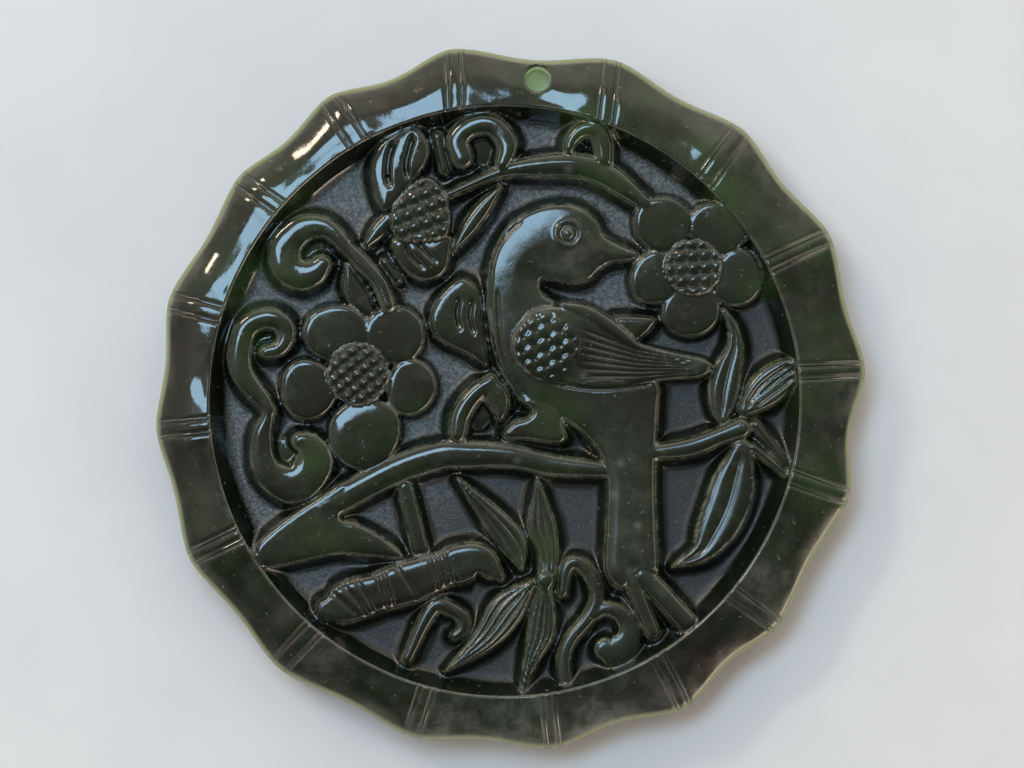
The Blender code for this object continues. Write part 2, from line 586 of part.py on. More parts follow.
def side_rings():
    """The side in steps from the top edge down: how far in from the outline, and how high."""
    fillet = min(BACK_ROUND, 0.75 * HOLE_EDGE)
    yield 0.0, SIDE_TOP
    for step in range(3):
        turn = math.pi / 2 * step / 2
        yield fillet * (1 - math.cos(turn)), fillet * (1 - math.sin(turn))


def close_hole_and_side(mesh, disc, corners, top, loops):
    """Hangs the side and the hole's wall from the front's two edges, and closes the flat back."""
    hole, edge = loops[0], loops[-1]
    above = [top[number] for number in edge]
    rim = corners[edge] + disc.middle
    bearing = np.arctan2(rim[:, 1], rim[:, 0])
    for inset, height in side_rings():
        below = [mesh.verts.new((*row, height)) for row in disc.outline(bearing, inset)]
        bridge(mesh, above, below)
        above = below
    through = [mesh.verts.new((*corners[number], 0.0)) for number in hole]
    bridge(mesh, [top[number] for number in hole], through)
    plan = Plan()
    plan.add([row.co.xy for row in above], True)
    plan.add([row.co.xy for row in through], True)
    _, _, faces, sources, _, _ = delaunay_2d_cdt(plan.points, plan.lines, [], 0, MERGE / 10)
    ring = np.array([tuple(row.co.xy) for row in through])
    outer = np.array([tuple(row.co.xy) for row in above])
    verts = above + through
    for face in faces:
        numbers = [sources[number][0] for number in face]
        middle = np.array([tuple(verts[number].co.xy) for number in numbers]).mean(0)[None]
        if inside(middle, outer)[0] and not inside(middle, ring)[0]:
            mesh.faces.new([verts[number] for number in numbers])


def bridge(mesh, above, below):
    """A band of faces between two loops with as many corners."""
    count = len(above)
    for number in range(count):
        ahead = (number + 1) % count
        mesh.faces.new((above[number], above[ahead], below[ahead], below[number]))


def jade():
    material = bpy.data.materials.new("dark green jade")
    material.use_nodes = True
    shader = material.node_tree.nodes["Principled BSDF"]
    shader.inputs["Base Color"].default_value = JADE
    shader.inputs["Roughness"].default_value = JADE_ROUGHNESS
    shader.inputs["Metallic"].default_value = 0.0
    return material


def main():
    for item in list(bpy.data.objects):
        bpy.data.objects.remove(item)
    pendant = bpy.data.objects.new("pendant", build_pendant())
    pendant.data.materials.append(jade())
    bpy.context.scene.collection.objects.link(pendant)


main()
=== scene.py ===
"""The look of a round jade pendant carved in relief, lying on a plain pale floor.

The whole stone is one surface on a grid: rings from the middle of the sunk field out to the edge. Its
height is worked out for all the corners at once, as the highest of the rim, the field and the carved
forms, less the lines that are engraved in them. Lengths are in millimetres, and places are measured from
the disc's middle, until the mesh is made.
"""

import math

import bpy
import numpy as np
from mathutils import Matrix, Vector
from mathutils.geometry import delaunay_2d_cdt


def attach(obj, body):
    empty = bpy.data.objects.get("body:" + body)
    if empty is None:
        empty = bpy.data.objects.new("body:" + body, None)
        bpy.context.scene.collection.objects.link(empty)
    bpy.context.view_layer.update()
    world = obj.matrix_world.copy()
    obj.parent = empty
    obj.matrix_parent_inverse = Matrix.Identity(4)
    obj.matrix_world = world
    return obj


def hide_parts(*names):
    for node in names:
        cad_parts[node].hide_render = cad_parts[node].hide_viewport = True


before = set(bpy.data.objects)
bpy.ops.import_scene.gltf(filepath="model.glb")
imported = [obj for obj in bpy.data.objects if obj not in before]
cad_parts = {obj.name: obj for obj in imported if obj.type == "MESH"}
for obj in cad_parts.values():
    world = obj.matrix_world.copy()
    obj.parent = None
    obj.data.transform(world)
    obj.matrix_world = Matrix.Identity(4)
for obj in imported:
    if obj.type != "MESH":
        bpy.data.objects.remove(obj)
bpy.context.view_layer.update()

# The disc, as in the part's source
RADIUS = 28.35
THICKNESS = 6.0
SIDE_TOP = 4.0
FIELD_RADIUS = 23.6
FIELD_MIDDLE = np.array([-0.44, -0.32])
DISC_MIDDLE = np.array([0.053, -0.124])
GROUND = 3.8
FIELD_WALL = 1.8
HOLE_RADIUS = 1.05
HOLE_EDGE = 0.5
HOLE_BEARING = math.radians(85)

# The sixteen joints of the rim, anticlockwise from +X: where each stands, how far its lines lean from the
# radius, how far the outline swells there and draws in before the next joint, and how far apart its two
# bands are
JOINTS = np.radians(4.6 + 22.5 * np.arange(16) + np.array(
    [0, -0.3, -1.0, 0.2, 5.2, 4.0, 1.4, 2.1, 0.8, -0.3, -0.1, 1.9, 2.6, 2.5, -0.5, 1.6]))
LEANS = np.radians(
    [-2.6, -2.2, 5.3, 10.6, -8.4, 3.4, 4.3, 1.2, -0.1, -0.4, -2.4, -1.5, -0.2, -1.9, 3.7, -4.1])
SWELLS = np.array(
    [.15, .33, .03, -.13, -.13, -.27, -.39, .03, .07, .37, .17, -.07, -.05, .23, -.13, -.07])
BAYS = 0.85 + np.array(
    [-.12, -.04, .03, .35, .18, -.03, -.1, -.15, -.22, -.17, -.11, -.06, .15, .03, -.02, .16])
GAPS = np.array(
    [1.04, 1.11, 1.34, 1.18, 1.16, 1.42, 1.12, 1.26, 1.16, 1.06, 1.42, 1.13, 1.0, 1.02, 1.1, 1.1])

# The rim's section: its even fall outwards, the share of its width where the steeper part starts, the
# quarter circle at the side, and how deep it sinks between two joints
RIM_FALL = 0.62
RIM_TURN = 0.35
SIDE_ROUND = 0.35
SADDLE = 0.2

# A joint's two bands: half their width, their depth, how far along them and to their side a corner still
# belongs to them, and what is noted for one that doesn't
BAND_HALF = 0.42
BAND_DEPTH = 0.1
BAND_REACH = 3.4
BAND_ASIDE = 1.5
NO_BAND = 2.0

# The rings of corners over the field and over the rim, a form's wall and its rounded edge, how near a
# crest or a line a corner has to be to be moved onto it, and how deep the veins are
FIELD_RINGS = 133
RIM_RINGS = 17
CARVED_WALL = 1.0
EDGE_ROUND = 0.42
CREST_NEAR = 0.09
LINE_NEAR = 0.07
VEIN_DEPTH = 0.11

# Loops of corners below the front: down the side, as how far in and how high, and down the cord hole. All
# of them are noted as well away from the thin edge, so that it alone gets the painted glow
SIDE_LOOPS = ((0.0, 3.55), (0.0, 2.6), (0.0, 0.3), (0.09, 0.09), (0.3, 0.0))
HOLE_LOOPS = (2.8, 0.3, 0.0)
BEYOND_FRONT = 2.4

# The photograph: its size in points, the point over the disc's middle, and the length of one point
PHOTO_SIZE = (1024, 768)
PHOTO_MIDDLE = (510, 397)
POINT = 0.08


def smooth_path(rows, step=0.25, closed=False):
    """Rows of a smooth curve through the given rows, a step apart in plan: between two rows a cubic, with
    half the way between its neighbours as the slope at each."""
    rows = np.array(rows, float)
    if closed:
        rows = np.vstack([rows[-1:], rows, rows[:2]])
    else:
        rows = np.vstack([2 * rows[0] - rows[1], rows, 2 * rows[-1] - rows[-2]])
    pieces = []
    for a, b, c, d in zip(rows, rows[1:], rows[2:], rows[3:]):
        count = max(1, round(np.linalg.norm((c - b)[:2]) / step))
        t = (np.arange(count) / count)[:, None]
        curve = 2 * b + (c - a) * t + (2 * a - 5 * b + 4 * c - d) * t**2
        pieces.append((curve + (3 * b - a - 3 * c + d) * t**3) / 2)
    if not closed:
        pieces.append(rows[-2][None, :])
    return np.vstack(pieces)


def nearest_on_path(points, path):
    """Each point's distance from a path, its place along it as a row number, and the nearest place."""
    start, along = path[:-1, :2], path[1:, :2] - path[:-1, :2]
    offset = points[:, None, :] - start[None]
    share = np.clip((offset * along).sum(2) / np.maximum((along**2).sum(1), 1e-12), 0, 1)
    near = start + share[..., None] * along
    gap = np.linalg.norm(points[:, None, :] - near, axis=2)
    best = gap.argmin(1)
    rows = np.arange(len(points))
    return gap[rows, best], best + share[rows, best], near[rows, best]


def inside(points, outline):
    """Which points a closed outline holds: a ray to the right crosses it an odd number of times."""
    ahead = np.roll(outline, -1, axis=0)
    x, y = points[:, 0, None], points[:, 1, None]
    spans = (outline[:, 1] > y) != (ahead[:, 1] > y)
    rise = np.where(ahead[:, 1] == outline[:, 1], 1e-12, ahead[:, 1] - outline[:, 1])
    crossing = outline[:, 0] + (y - outline[:, 1]) * (ahead[:, 0] - outline[:, 0]) / rise
    return (spans & (x < crossing)).sum(1) % 2 == 1


def ease(value):
    """0 below 0, 1 above 1, and a smooth rise between."""
    value = np.clip(value, 0, 1)
    return value * value * (3 - 2 * value)


def furrow(offset):
    """The section of a cut line as a cosine: 1 in its middle and 0 at an offset of 1 to either side."""
    return 0.5 + 0.5 * np.cos(math.pi * offset)


def leaning(points, outline, lean):
    """How much higher a leaning top is at each point: the lean in x and in y times how far the point is
    from the middle of the outline, held to the outline's own box."""
    offset = np.clip(points, outline.min(0), outline.max(0)) - outline.mean(0)
    return (offset * np.array(lean)).sum(1)


def photo(x, y):
    """A place in the photograph, in millimetres from the disc's middle."""
    return (x - PHOTO_MIDDLE[0]) * POINT, (PHOTO_MIDDLE[1] - y) * POINT


def photo_path(*places):
    """A path through places in the photograph."""
    return [photo(x, y) for x, y in places]


class Relief:
    """The height of the front at each corner, and what each corner belongs to."""

    def __init__(self, plan):
        self.plan = plan
        self.height = np.full(len(plan), GROUND)
        self.owner = np.full(len(plan), "", dtype="U16")
        self.pull = np.zeros_like(plan)
        self.wall = np.zeros(len(plan))
        names = ("crest", "seed_u", "seed_v", "seeded", "line", "lined")
        self.marks = {name: np.zeros(len(plan)) for name in names}

    def near(self, rows, margin):
        """The corners in the box round the rows and a margin about it."""
        low, high = rows[:, :2].min(0) - margin, rows[:, :2].max(0) + margin
        return np.flatnonzero(((self.plan > low) & (self.plan < high)).all(1))

    def raise_form(self, name, which, top, depth_in, nearest, wall=CARVED_WALL):
        """Takes a form in where it is the highest. Its wall rises from its foot to the crest line, hollow
        below, by three parts of the 2.2 power of the way passed and one part of a smooth step."""
        share = np.clip(1 + depth_in / wall, 0, 1)
        rise = GROUND + (top - GROUND) * (0.75 * share**2.2 + 0.25 * ease(share))
        rise = np.where(depth_in > -wall, rise, -1)
        wins = rise > self.height[which]
        here = which[wins]
        self.height[here] = rise[wins]
        self.owner[here] = name
        self.wall[here] = np.where(depth_in[wins] < 0, 1.0, 0.0)
        close = np.abs(depth_in[wins]) < CREST_NEAR
        self.pull[here] = np.where(close[:, None], nearest[wins] - self.plan[here], 0)
        for values in self.marks.values():
            values[here] = 0
        # Corners on the crest line carry the painted highlight
        self.marks["crest"][here] = close
        return wins

    def ribbon(self, name, height, rows, shoulder=0.76, wall=CARVED_WALL, veins=0, power=2.5,
               lean=(0, 0)):
        """A band along a curved spine of (x, y, half width). Its top falls from the full height at the
        spine to the shoulder at its sides, as the 0.8 power of one less a power of the share across.
        Veins run along it, evenly spaced from side to side: shallow cosine furrows that fade at its
        ends."""
        spine = smooth_path(rows)
        which = self.near(spine, spine[:, 2].max() + wall)
        points = self.plan[which]
        gap, place, near = nearest_on_path(points, spine)
        half = np.interp(place, np.arange(len(spine)), spine[:, 2])
        depth_in = half - gap
        across = np.clip(gap / np.maximum(half, 1e-6), 0, 1)
        dome = shoulder + (1 - shoulder) * (1 - across**power) ** 0.8
        out = (points - near) / np.maximum(gap, 1e-9)[:, None]
        ahead = np.gradient(spine[:, :2], axis=0)[np.minimum(place.astype(int), len(spine) - 1)]
        side = np.sign(ahead[:, 0] * out[:, 1] - ahead[:, 1] * out[:, 0])
        line = (1 + side * across) * (veins + 1) / 2
        ends = ease(place / 5) * ease((len(spine) - 1 - place) / 5)
        lined = (veins > 0) * ends * ease((1 - across) / 0.3)
        tilt = leaning(points, spine[:, :2], lean)
        top = GROUND + height * dome + tilt - VEIN_DEPTH * lined * furrow(2 * line)
        wins = self.raise_form(name, which, top, depth_in, near + out * half[:, None], wall)
        self.marks["line"][which[wins]] = line[wins]
        self.marks["lined"][which[wins]] = lined[wins]

    def pebble(self, name, height, outline, crown, shoulder=0.74, wall=CARVED_WALL, swell=0.3,
               lean=(0, 0)):
        """A closed form. Its top rises from the shoulder at the crest line as a quarter circle within the
        rounded edge, and by the share called swell as a wide parabola as far in as the crown."""
        outline = smooth_path(outline, 0.25, True)
        which = self.near(outline, wall)
        points = self.plan[which]
        gap, _, near = nearest_on_path(points, np.vstack([outline, outline[:1]]))
        depth_in = np.where(inside(points, outline), gap, -gap)
        edge = 1 - np.clip(depth_in / EDGE_ROUND, 0, 1)
        crown = crown[which] if isinstance(crown, np.ndarray) else crown
        over = 1 - np.clip(depth_in / crown, 0, 1)
        dome = shoulder + (1 - shoulder) * ((1 - swell) * np.sqrt(1 - edge**2) + swell * (1 - over**2))
        top = GROUND + height * dome + leaning(points, outline, lean)
        self.raise_form(name, which, top, depth_in, near, wall)

    def groove(self, names, rows, width, depth):
        """Engraves a line in the named forms. The height falls by the depth, as a cosine of the distance
        from the line up to its width, and less at its two ends."""
        path = smooth_path(rows, 0.2)
        which = self.near(path, width)
        which = which[np.isin(self.owner[which], names)]
        if len(which):
            gap, place, near = nearest_on_path(self.plan[which], path)
            taper = np.clip(np.minimum(place, len(path) - 1 - place) / 2 + 0.35, 0, 1)
            self.height[which] -= depth * taper * furrow(np.clip(gap / width, 0, 1))
            close = (gap < LINE_NEAR) & (self.wall[which] == 0)
            self.pull[which[close]] = (near - self.plan[which])[close]


def round_outline(x, y, radius, other=None, corners=10, wobble=0.0):
    """Corners round an ellipse, which swells and draws in by its wobble, as two sines of the turn."""
    other = radius if other is None else other
    turn = 2 * math.pi * np.arange(corners) / corners
    swing = 1 + wobble * (np.sin(2 * turn + 1.7 * x) + 0.8 * np.sin(3 * turn + 2.3 * y))
    return np.stack([x + radius * swing * np.cos(turn), y + other * swing * np.sin(turn)], 1)


def joint_place(bearing):
    """The joint before a bearing, and the share of the way to the next one."""
    joints = np.append(JOINTS, JOINTS[0] + 2 * math.pi)
    bearing = (bearing - joints[0]) % (2 * math.pi) + joints[0]
    place = np.interp(bearing, joints, np.arange(len(joints)))
    joint = np.minimum(place.astype(int), len(JOINTS) - 1)
    return joint, place - joint


def reach(bearing):
    """The radius of the outline: it swells at each joint and draws in between two by a rounded sine."""
    joint, passed = joint_place(bearing)
    blend = (1 - np.cos(math.pi * passed)) / 2
    swell = SWELLS[joint] * (1 - blend) + SWELLS[(joint + 1) % len(JOINTS)] * blend
    return RADIUS + swell - BAYS[joint] * np.sin(math.pi * passed) ** 1.6


def lay_rim(relief):
    """The rim. From its inner crest outwards its top falls evenly, past its turn also by the 1.6 power of
    the way from there, and at the side as a quarter circle. Between joints it sinks by a rounded sine,
    and two products of sines make it a little uneven. Inwards the wall of the field falls from the crest
    by a power of a sine."""
    plan = relief.plan
    bearing = np.arctan2(plan[:, 1], plan[:, 0])
    from_side = reach(bearing) - np.linalg.norm(plan, axis=1)
    from_crest = np.linalg.norm(plan - FIELD_MIDDLE, axis=1) - FIELD_RADIUS
    width = np.maximum(from_side + from_crest, 0.1)
    over = np.clip(from_crest / width, 0, 1)
    _, passed = joint_place(bearing)
    between = np.sin(math.pi * passed) ** 1.6
    steep = THICKNESS - SIDE_TOP - RIM_FALL - SIDE_ROUND
    rim = THICKNESS - RIM_FALL * over - steep * (np.clip(over - RIM_TURN, 0, 1) / (1 - RIM_TURN)) ** 1.6
    rim -= SIDE_ROUND * (1 - np.sqrt(1 - (1 - np.clip(from_side / SIDE_ROUND, 0, 1)) ** 2))
    rim -= SADDLE * between * np.clip(2 * from_side / width, 0, 1)
    wave = np.sin(plan[:, 0] * 1.9 + 1.3 * np.sin(plan[:, 1] * 0.8))
    wave *= np.sin(plan[:, 1] * 1.6 + 0.9 * np.sin(plan[:, 0] * 0.7))
    swing = np.sin(plan[:, 0] * 0.95 + 2.0) * np.sin(plan[:, 1] * 1.1 + 1.1 * np.sin(plan[:, 0] * 0.5))
    rim += (0.022 * wave + 0.05 * swing) * ease(from_side / 1.5) * ease(from_crest / 0.5)
    cut, relief.joint_off = joint_cuts(plan)
    rim -= cut * ease(1 + from_crest / 0.3)
    fall = np.clip(-from_crest / FIELD_WALL, 0, 1)
    wall = rim - (rim - GROUND) * np.sin(fall * math.pi / 2) ** 0.92
    on_rim = from_crest > -FIELD_WALL
    on_wall = on_rim & (from_crest < 0)
    relief.height = np.where(on_rim, np.where(on_wall, wall, rim), relief.height)
    relief.wall = np.where(on_wall, 1.0, relief.wall)
    relief.owner[from_crest >= 0] = "rim"
    relief.owner[on_wall] = "rim wall"
    # A painted highlight along the rim's inner crest
    relief.marks["crest"][:] = 0.45 * np.clip(1 - np.abs(from_crest) / 0.15, 0, 1)
    relief.from_side, relief.from_crest = from_side, from_crest


def joint_cuts(plan):
    """The depth cut at each joint: two bands side by side with a plain one between them. Also how far
    each corner lies from the middle of the nearest band, for the fine lines in it."""
    depth = np.zeros(len(plan))
    band_off = np.full(len(plan), NO_BAND)
    middle_radius = (RADIUS + FIELD_RADIUS) / 2
    for joint, lean, gap in zip(JOINTS, LEANS, GAPS):
        middle = middle_radius * np.array([math.cos(joint), math.sin(joint)])
        ahead = np.array([math.cos(joint + lean), math.sin(joint + lean)])
        offset = plan - middle
        along = offset[:, 0] * ahead[0] + offset[:, 1] * ahead[1]
        off = np.abs(offset[:, 1] * ahead[0] - offset[:, 0] * ahead[1]) - gap / 2
        near = (np.abs(along) < BAND_REACH) & (np.abs(off) < BAND_ASIDE)
        cut = BAND_DEPTH * furrow(np.clip(off / BAND_HALF, -1, 1))
        depth = np.where(near, np.maximum(depth, cut), depth)
        band_off = np.where(near, off, band_off)
    return depth, band_off


# Heights above the ground of the field
BIRD = 2.05
WING = 2.15
HEART = 2.15
PETAL = 1.8
BRANCH = 1.8
SCROLL = 1.85
LEAF = 1.6
TWIG = 1.3
POCKET = 0.6


def carve_bird(relief):
    """The bird: its body with the tail and legs, the wings and the thigh, and then what is cut in them.
    The near wing swells over the shoulder by a smooth step of the distance from its middle."""
    body = [
        (4.0, 15.4), (5.6, 15.1), (6.8, 14.2), (7.4, 13.0), (8.6, 12.2), (10.2, 11.5), (9.8, 10.9),
        (8.2, 10.7), (7.2, 10.2), (6.4, 9.4), (5.0, 9.0), (3.4, 9.3), (2.5, 9.4), (2.4, 8.6), (3.2, 7.8),
        (4.8, 7.1), (7.2, 5.8), (10.4, 3.8), (11.8, 1.0), (11.8, -0.6), (11.7, -3.6), (11.6, -7.0),
        (11.7, -10.4), (11.8, -13.4), (11.6, -13.9), (10.6, -13.8), (9.9, -14.2), (9.4, -15.1),
        (8.7, -15.3), (7.9, -14.6), (7.5, -13.4), (7.6, -11.0), (7.7, -7.6), (7.5, -5.6), (6.9, -4.2),
        (5.8, -2.9), (4.5, -1.9), (3.2, -1.2), (1.6, -0.9), (0.2, 0.7), (-0.8, 2.3), (-1.4, 4.2),
        (-1.7, 6.2), (-1.8, 7.8), (-1.8, 9.8), (-1.5, 11.1), (-0.8, 12.7), (0.2, 14.0), (2.0, 15.0),
    ]
    crown = 1.2 + 3.0 * ease((relief.plan[:, 1] + 5) / 7)
    relief.pebble("body", BIRD, body, crown, shoulder=0.7, swell=0.6)
    relief.ribbon("strip", BRANCH, [(9.6, -14.4, 0.64), (11.4, -18.8, 0.59)])
    relief.ribbon("strip", BRANCH, [(10.6, -14.2, 0.84), (14.1, -18.0, 0.84)])
    far_wing = [(8.0, 6.3), (9.8, 6.5), (11.6, 6.3), (11.4, 5.6), (10.4, 4.6), (9.6, 4.3), (8.8, 5.0)]
    relief.pebble("far wing", BIRD * 0.85, far_wing, crown=0.9, shoulder=0.75)
    thigh = [
        (0.8, -0.2), (1.7, -1.0), (1.4, -1.6), (0.4, -1.9), (-0.2, -2.4), (-0.6, -3.0), (0.0, -3.4),
        (1.2, -3.4), (2.8, -3.6), (4.0, -3.7), (4.5, -3.2), (4.2, -2.2), (4.0, -1.0), (2.8, -0.1),
    ]
    relief.pebble("thigh", BIRD * 0.9, thigh, crown=0.6, shoulder=0.8)
    wing = [
        (0.6, 5.6), (2.2, 7.0), (4.4, 7.1), (6.4, 6.2), (8.8, 4.9), (11.4, 3.9), (14.0, 3.3), (15.7, 2.9),
        (15.9, 2.2), (15.2, 1.6), (12.6, 1.4), (9.6, 0.9), (6.6, 0.5), (3.6, 0.8), (1.4, 1.8), (0.2, 3.6),
    ]
    relief.pebble("wing", WING, wing, crown=1.5, shoulder=0.88, wall=0.4, swell=0.3, lean=(-0.006, 0.045))
    relief.ribbon("wing edge", WING + 0.12, [
        (4.2, 7.3, 0.3), (5.8, 6.8, 0.6), (7.4, 5.9, 0.66), (9.2, 4.7, 0.5), (10.2, 4.0, 0.15),
    ], shoulder=0.86, wall=0.4)
    x, y = relief.plan.T
    shoulder = 0.16 * ease((3.2 - np.hypot((x - 2.9) * 0.92, y - 4.05)) / 1.2)
    relief.height += np.where(relief.owner == "wing", shoulder, 0)
    carve_scales(relief)
    carve_feathers(relief)
    carve_eye(relief)


def carve_scales(relief):
    """Scales on the shoulder, within an ellipse: the highest of round caps on staggered rows of a turned
    grid, each the square root of one less the distance squared, and a little higher at its far end."""
    x, y = relief.plan[:, 0] - 2.7, relief.plan[:, 1] - 4.05
    which = np.flatnonzero((relief.owner == "wing") & ((x / 2.85) ** 2 + (y / 2.7) ** 2 < 1))
    turn = math.radians(-28)
    u = x[which] * math.cos(turn) - y[which] * math.sin(turn)
    v = x[which] * math.sin(turn) + y[which] * math.cos(turn)
    pitch, row_gap, radius = 1.15, 0.98, 0.68
    low, cap, rising = -0.16, 0.25, 0.08
    rise = np.full(len(which), low)
    for row in range(-4, 5):
        for column in range(-4, 5):
            far = np.hypot(u - (column * pitch + (row % 2) * pitch / 2), v - row * row_gap)
            scale = cap * np.sqrt(np.clip(1 - (far / radius) ** 2, 0, 1)) + low
            rise = np.maximum(rise, scale + rising * (v - row * row_gap) * (far < radius))
    relief.height[which] += rise
    relief.owner[which] = "scales"


def carve_feathers(relief):
    """Long feathers on the wing, eight from its upper edge to its lower one with a cosine furrow between
    each two. Then the lines cut round the scales, along the wing's two edges, down the bird's back and
    over its breast."""
    x, y = relief.plan.T
    upper = np.interp(x, (4.6, 7.0, 10.4, 15.2), (6.6, 5.4, 4.0, 2.95))
    lower = np.interp(x, (4.6, 9.8, 15.0), (0.9, 1.2, 1.8))
    which = relief.owner == "wing"
    line = 8 * (upper - y) / (upper - lower)
    lined = ease((x - 5.2) / 1.5) * ease((15.6 - x) / 2) * ease(line / 0.6) * ease((8 - line) / 0.6)
    relief.marks["line"][which] = line[which]
    relief.marks["lined"][which] = 0.8 * lined[which]
    relief.height -= np.where(which, 0.06 * lined * furrow(2 * line), 0)
    round_scales = [(1.0, 6.1), (-0.15, 4.4), (0.4, 2.5), (1.8, 1.3), (3.6, 0.95), (5.6, 0.75)]
    relief.groove(["wing", "scales"], round_scales, 0.2, 0.12)
    relief.groove(["body"], photo_path((546, 305), (570, 313), (600, 333), (640, 352)), 0.24, 0.14)
    under_wing = photo_path((556, 384), (590, 389), (622, 388), (650, 384))
    relief.groove(["body", "wing"], under_wing, 0.2, 0.16)
    back = photo_path((520, 222), (503, 240), (493, 262), (490, 290), (491, 320), (495, 350), (505, 376),
                      (520, 396))
    relief.groove(["body"], back, 0.26, 0.16)
    relief.groove(["body"], [(x + 0.62, y - 0.12) for x, y in back[3:]], 0.24, 0.1)
    relief.groove(["body"], photo_path((541, 279), (560, 281), (582, 284), (600, 276)), 0.2, 0.1)


def carve_eye(relief):
    """The eye: a round bead, and about it a groove and a raised ring, as bell curves of the distance."""
    x, y = photo(568, 234)
    far = np.hypot(relief.plan[:, 0] - x, relief.plan[:, 1] - y)
    which = far < 1.6
    bead = 0.22 * np.sqrt(np.clip(1 - (far / 0.45) ** 2, 0, 1))
    ring = 0.12 * np.exp(-(((far - 0.98) / 0.17) ** 2)) - 0.16 * np.exp(-(((far - 0.66) / 0.16) ** 2))
    relief.height += np.where(which, bead + ring, 0)


def carve_heart(relief, x, y, radius, pitch, turn, name="heart", outline=None, slant=0.0):
    """A flower's heart: a turned grid of seeds, each a pillow that is the product of two parabolas. The
    counts of the seeds along and across, u and v, are kept for the fine cuts between them."""
    outline = round_outline(x, y, radius) if outline is None else outline
    relief.pebble(name, HEART, outline, crown=1.6, shoulder=0.92, wall=0.35, swell=0.5)
    near = np.hypot(*(relief.plan - (x, y)).T) < radius * 2
    which = np.flatnonzero((relief.owner == name) & (relief.wall == 0) & near)
    lean = math.radians(turn)
    dx, dy = relief.plan[which, 0] - x, relief.plan[which, 1] - y
    u = (dx * math.cos(lean) + dy * math.sin(lean)) / pitch
    v = (dy * math.cos(lean) - dx * math.sin(lean) + slant * dx) / pitch
    bead = (1 - 4 * (u - np.round(u)) ** 2) * (1 - 4 * (v - np.round(v)) ** 2)
    relief.height[which] += 0.2 * bead - 0.12
    relief.marks["seed_u"][which] = u
    relief.marks["seed_v"][which] = v
    relief.marks["seeded"][which] = 1.0


def petal(relief, x, y, across, up, swell=0.3):
    """A petal: an ellipse a little out of true, rounded at its edge and domed by its swell."""
    outline = round_outline(x, y, 1.05 * across, 1.05 * up, corners=12, wobble=0.035)
    relief.pebble("petal", PETAL, outline, crown=1.9, shoulder=0.81, wall=0.5, swell=swell)


def carve_blossoms(relief):
    """Two flowers of five petals round a heart, and a half-open one with two petals and a seeded cone."""
    petal(relief, -13.9, 5.1, 2.4, 2.25)
    petal(relief, -9.2, 5.0, 2.3, 2.2)
    petal(relief, -7.9, 0.8, 1.9, 2.1)
    petal(relief, -16.1, 0.6, 2.2, 2.25)
    petal(relief, -11.6, -2.9, 2.75, 2.65, swell=0.75)
    carve_heart(relief, -12.1, 1.8, 2.4, 0.86, 38)
    petal(relief, 12.2, 13.8, 2.15, 2.2)
    petal(relief, 16.6, 13.5, 2.25, 2.05)
    petal(relief, 18.1, 9.5, 1.95, 2.15)
    petal(relief, 14.4, 7.0, 2.25, 2.1)
    petal(relief, 11.6, 9.5, 1.9, 2.1)
    carve_heart(relief, 14.6, 10.3, 2.2, 1.0, 4)
    upper = [
        (-10.0, 14.8), (-11.0, 17.0), (-11.0, 19.0), (-10.0, 20.6), (-7.8, 21.5), (-6.6, 20.2),
        (-6.8, 18.6), (-8.0, 17.0),
    ]
    lower = [
        (-9.1, 12.7), (-9.2, 11.4), (-8.0, 9.8), (-6.6, 9.3), (-5.2, 10.0), (-4.8, 11.8), (-5.0, 12.9),
    ]
    relief.pebble("upper petal", PETAL, upper, crown=1.8, shoulder=0.8, lean=(0.06, -0.06), swell=0.5)
    relief.pebble("lower petal", PETAL, lower, crown=1.6, shoulder=0.78, swell=0.6)
    for names, width, depth, path in (
            (["upper petal"], 0.42, 0.42, photo_path((394, 143), (389, 158), (388, 176), (390, 186))),
            (["upper petal"], 0.42, 0.42, photo_path((413, 138), (409, 152), (406, 166), (408, 178))),
            (["lower petal"], 0.36, 0.3, photo_path((405, 246), (413, 258), (424, 268))),
            (["lower petal"], 0.36, 0.3, photo_path((417, 242), (426, 252), (436, 262)))):
        relief.groove(names, path, width, depth)
    cone = [
        (-9.0, 12.7), (-9.4, 14.6), (-8.4, 16.2), (-6.8, 17.4), (-5.6, 16.7), (-5.0, 15.4), (-5.0, 13.0),
        (-6.8, 12.5),
    ]
    carve_heart(relief, -7.1, 14.9, 2.2, 1.05, 28, "cone", cone, 0.15)
    relief.ribbon("sepal", TWIG, [(-11.4, 12.2, 0.31), (-10.4, 13.4, 0.66), (-9.5, 14.4, 0.56)])
    relief.ribbon("leaf", LEAF, [
        (-0.8, 16.7, 0.2), (-2.2, 15.0, 0.65), (-3.5, 13.2, 0.6), (-4.4, 11.8, 0.2),
    ])
    relief.ribbon("twig", TWIG, [(-5.8, 20.8, 0.41), (-5.2, 18.2, 0.41)])


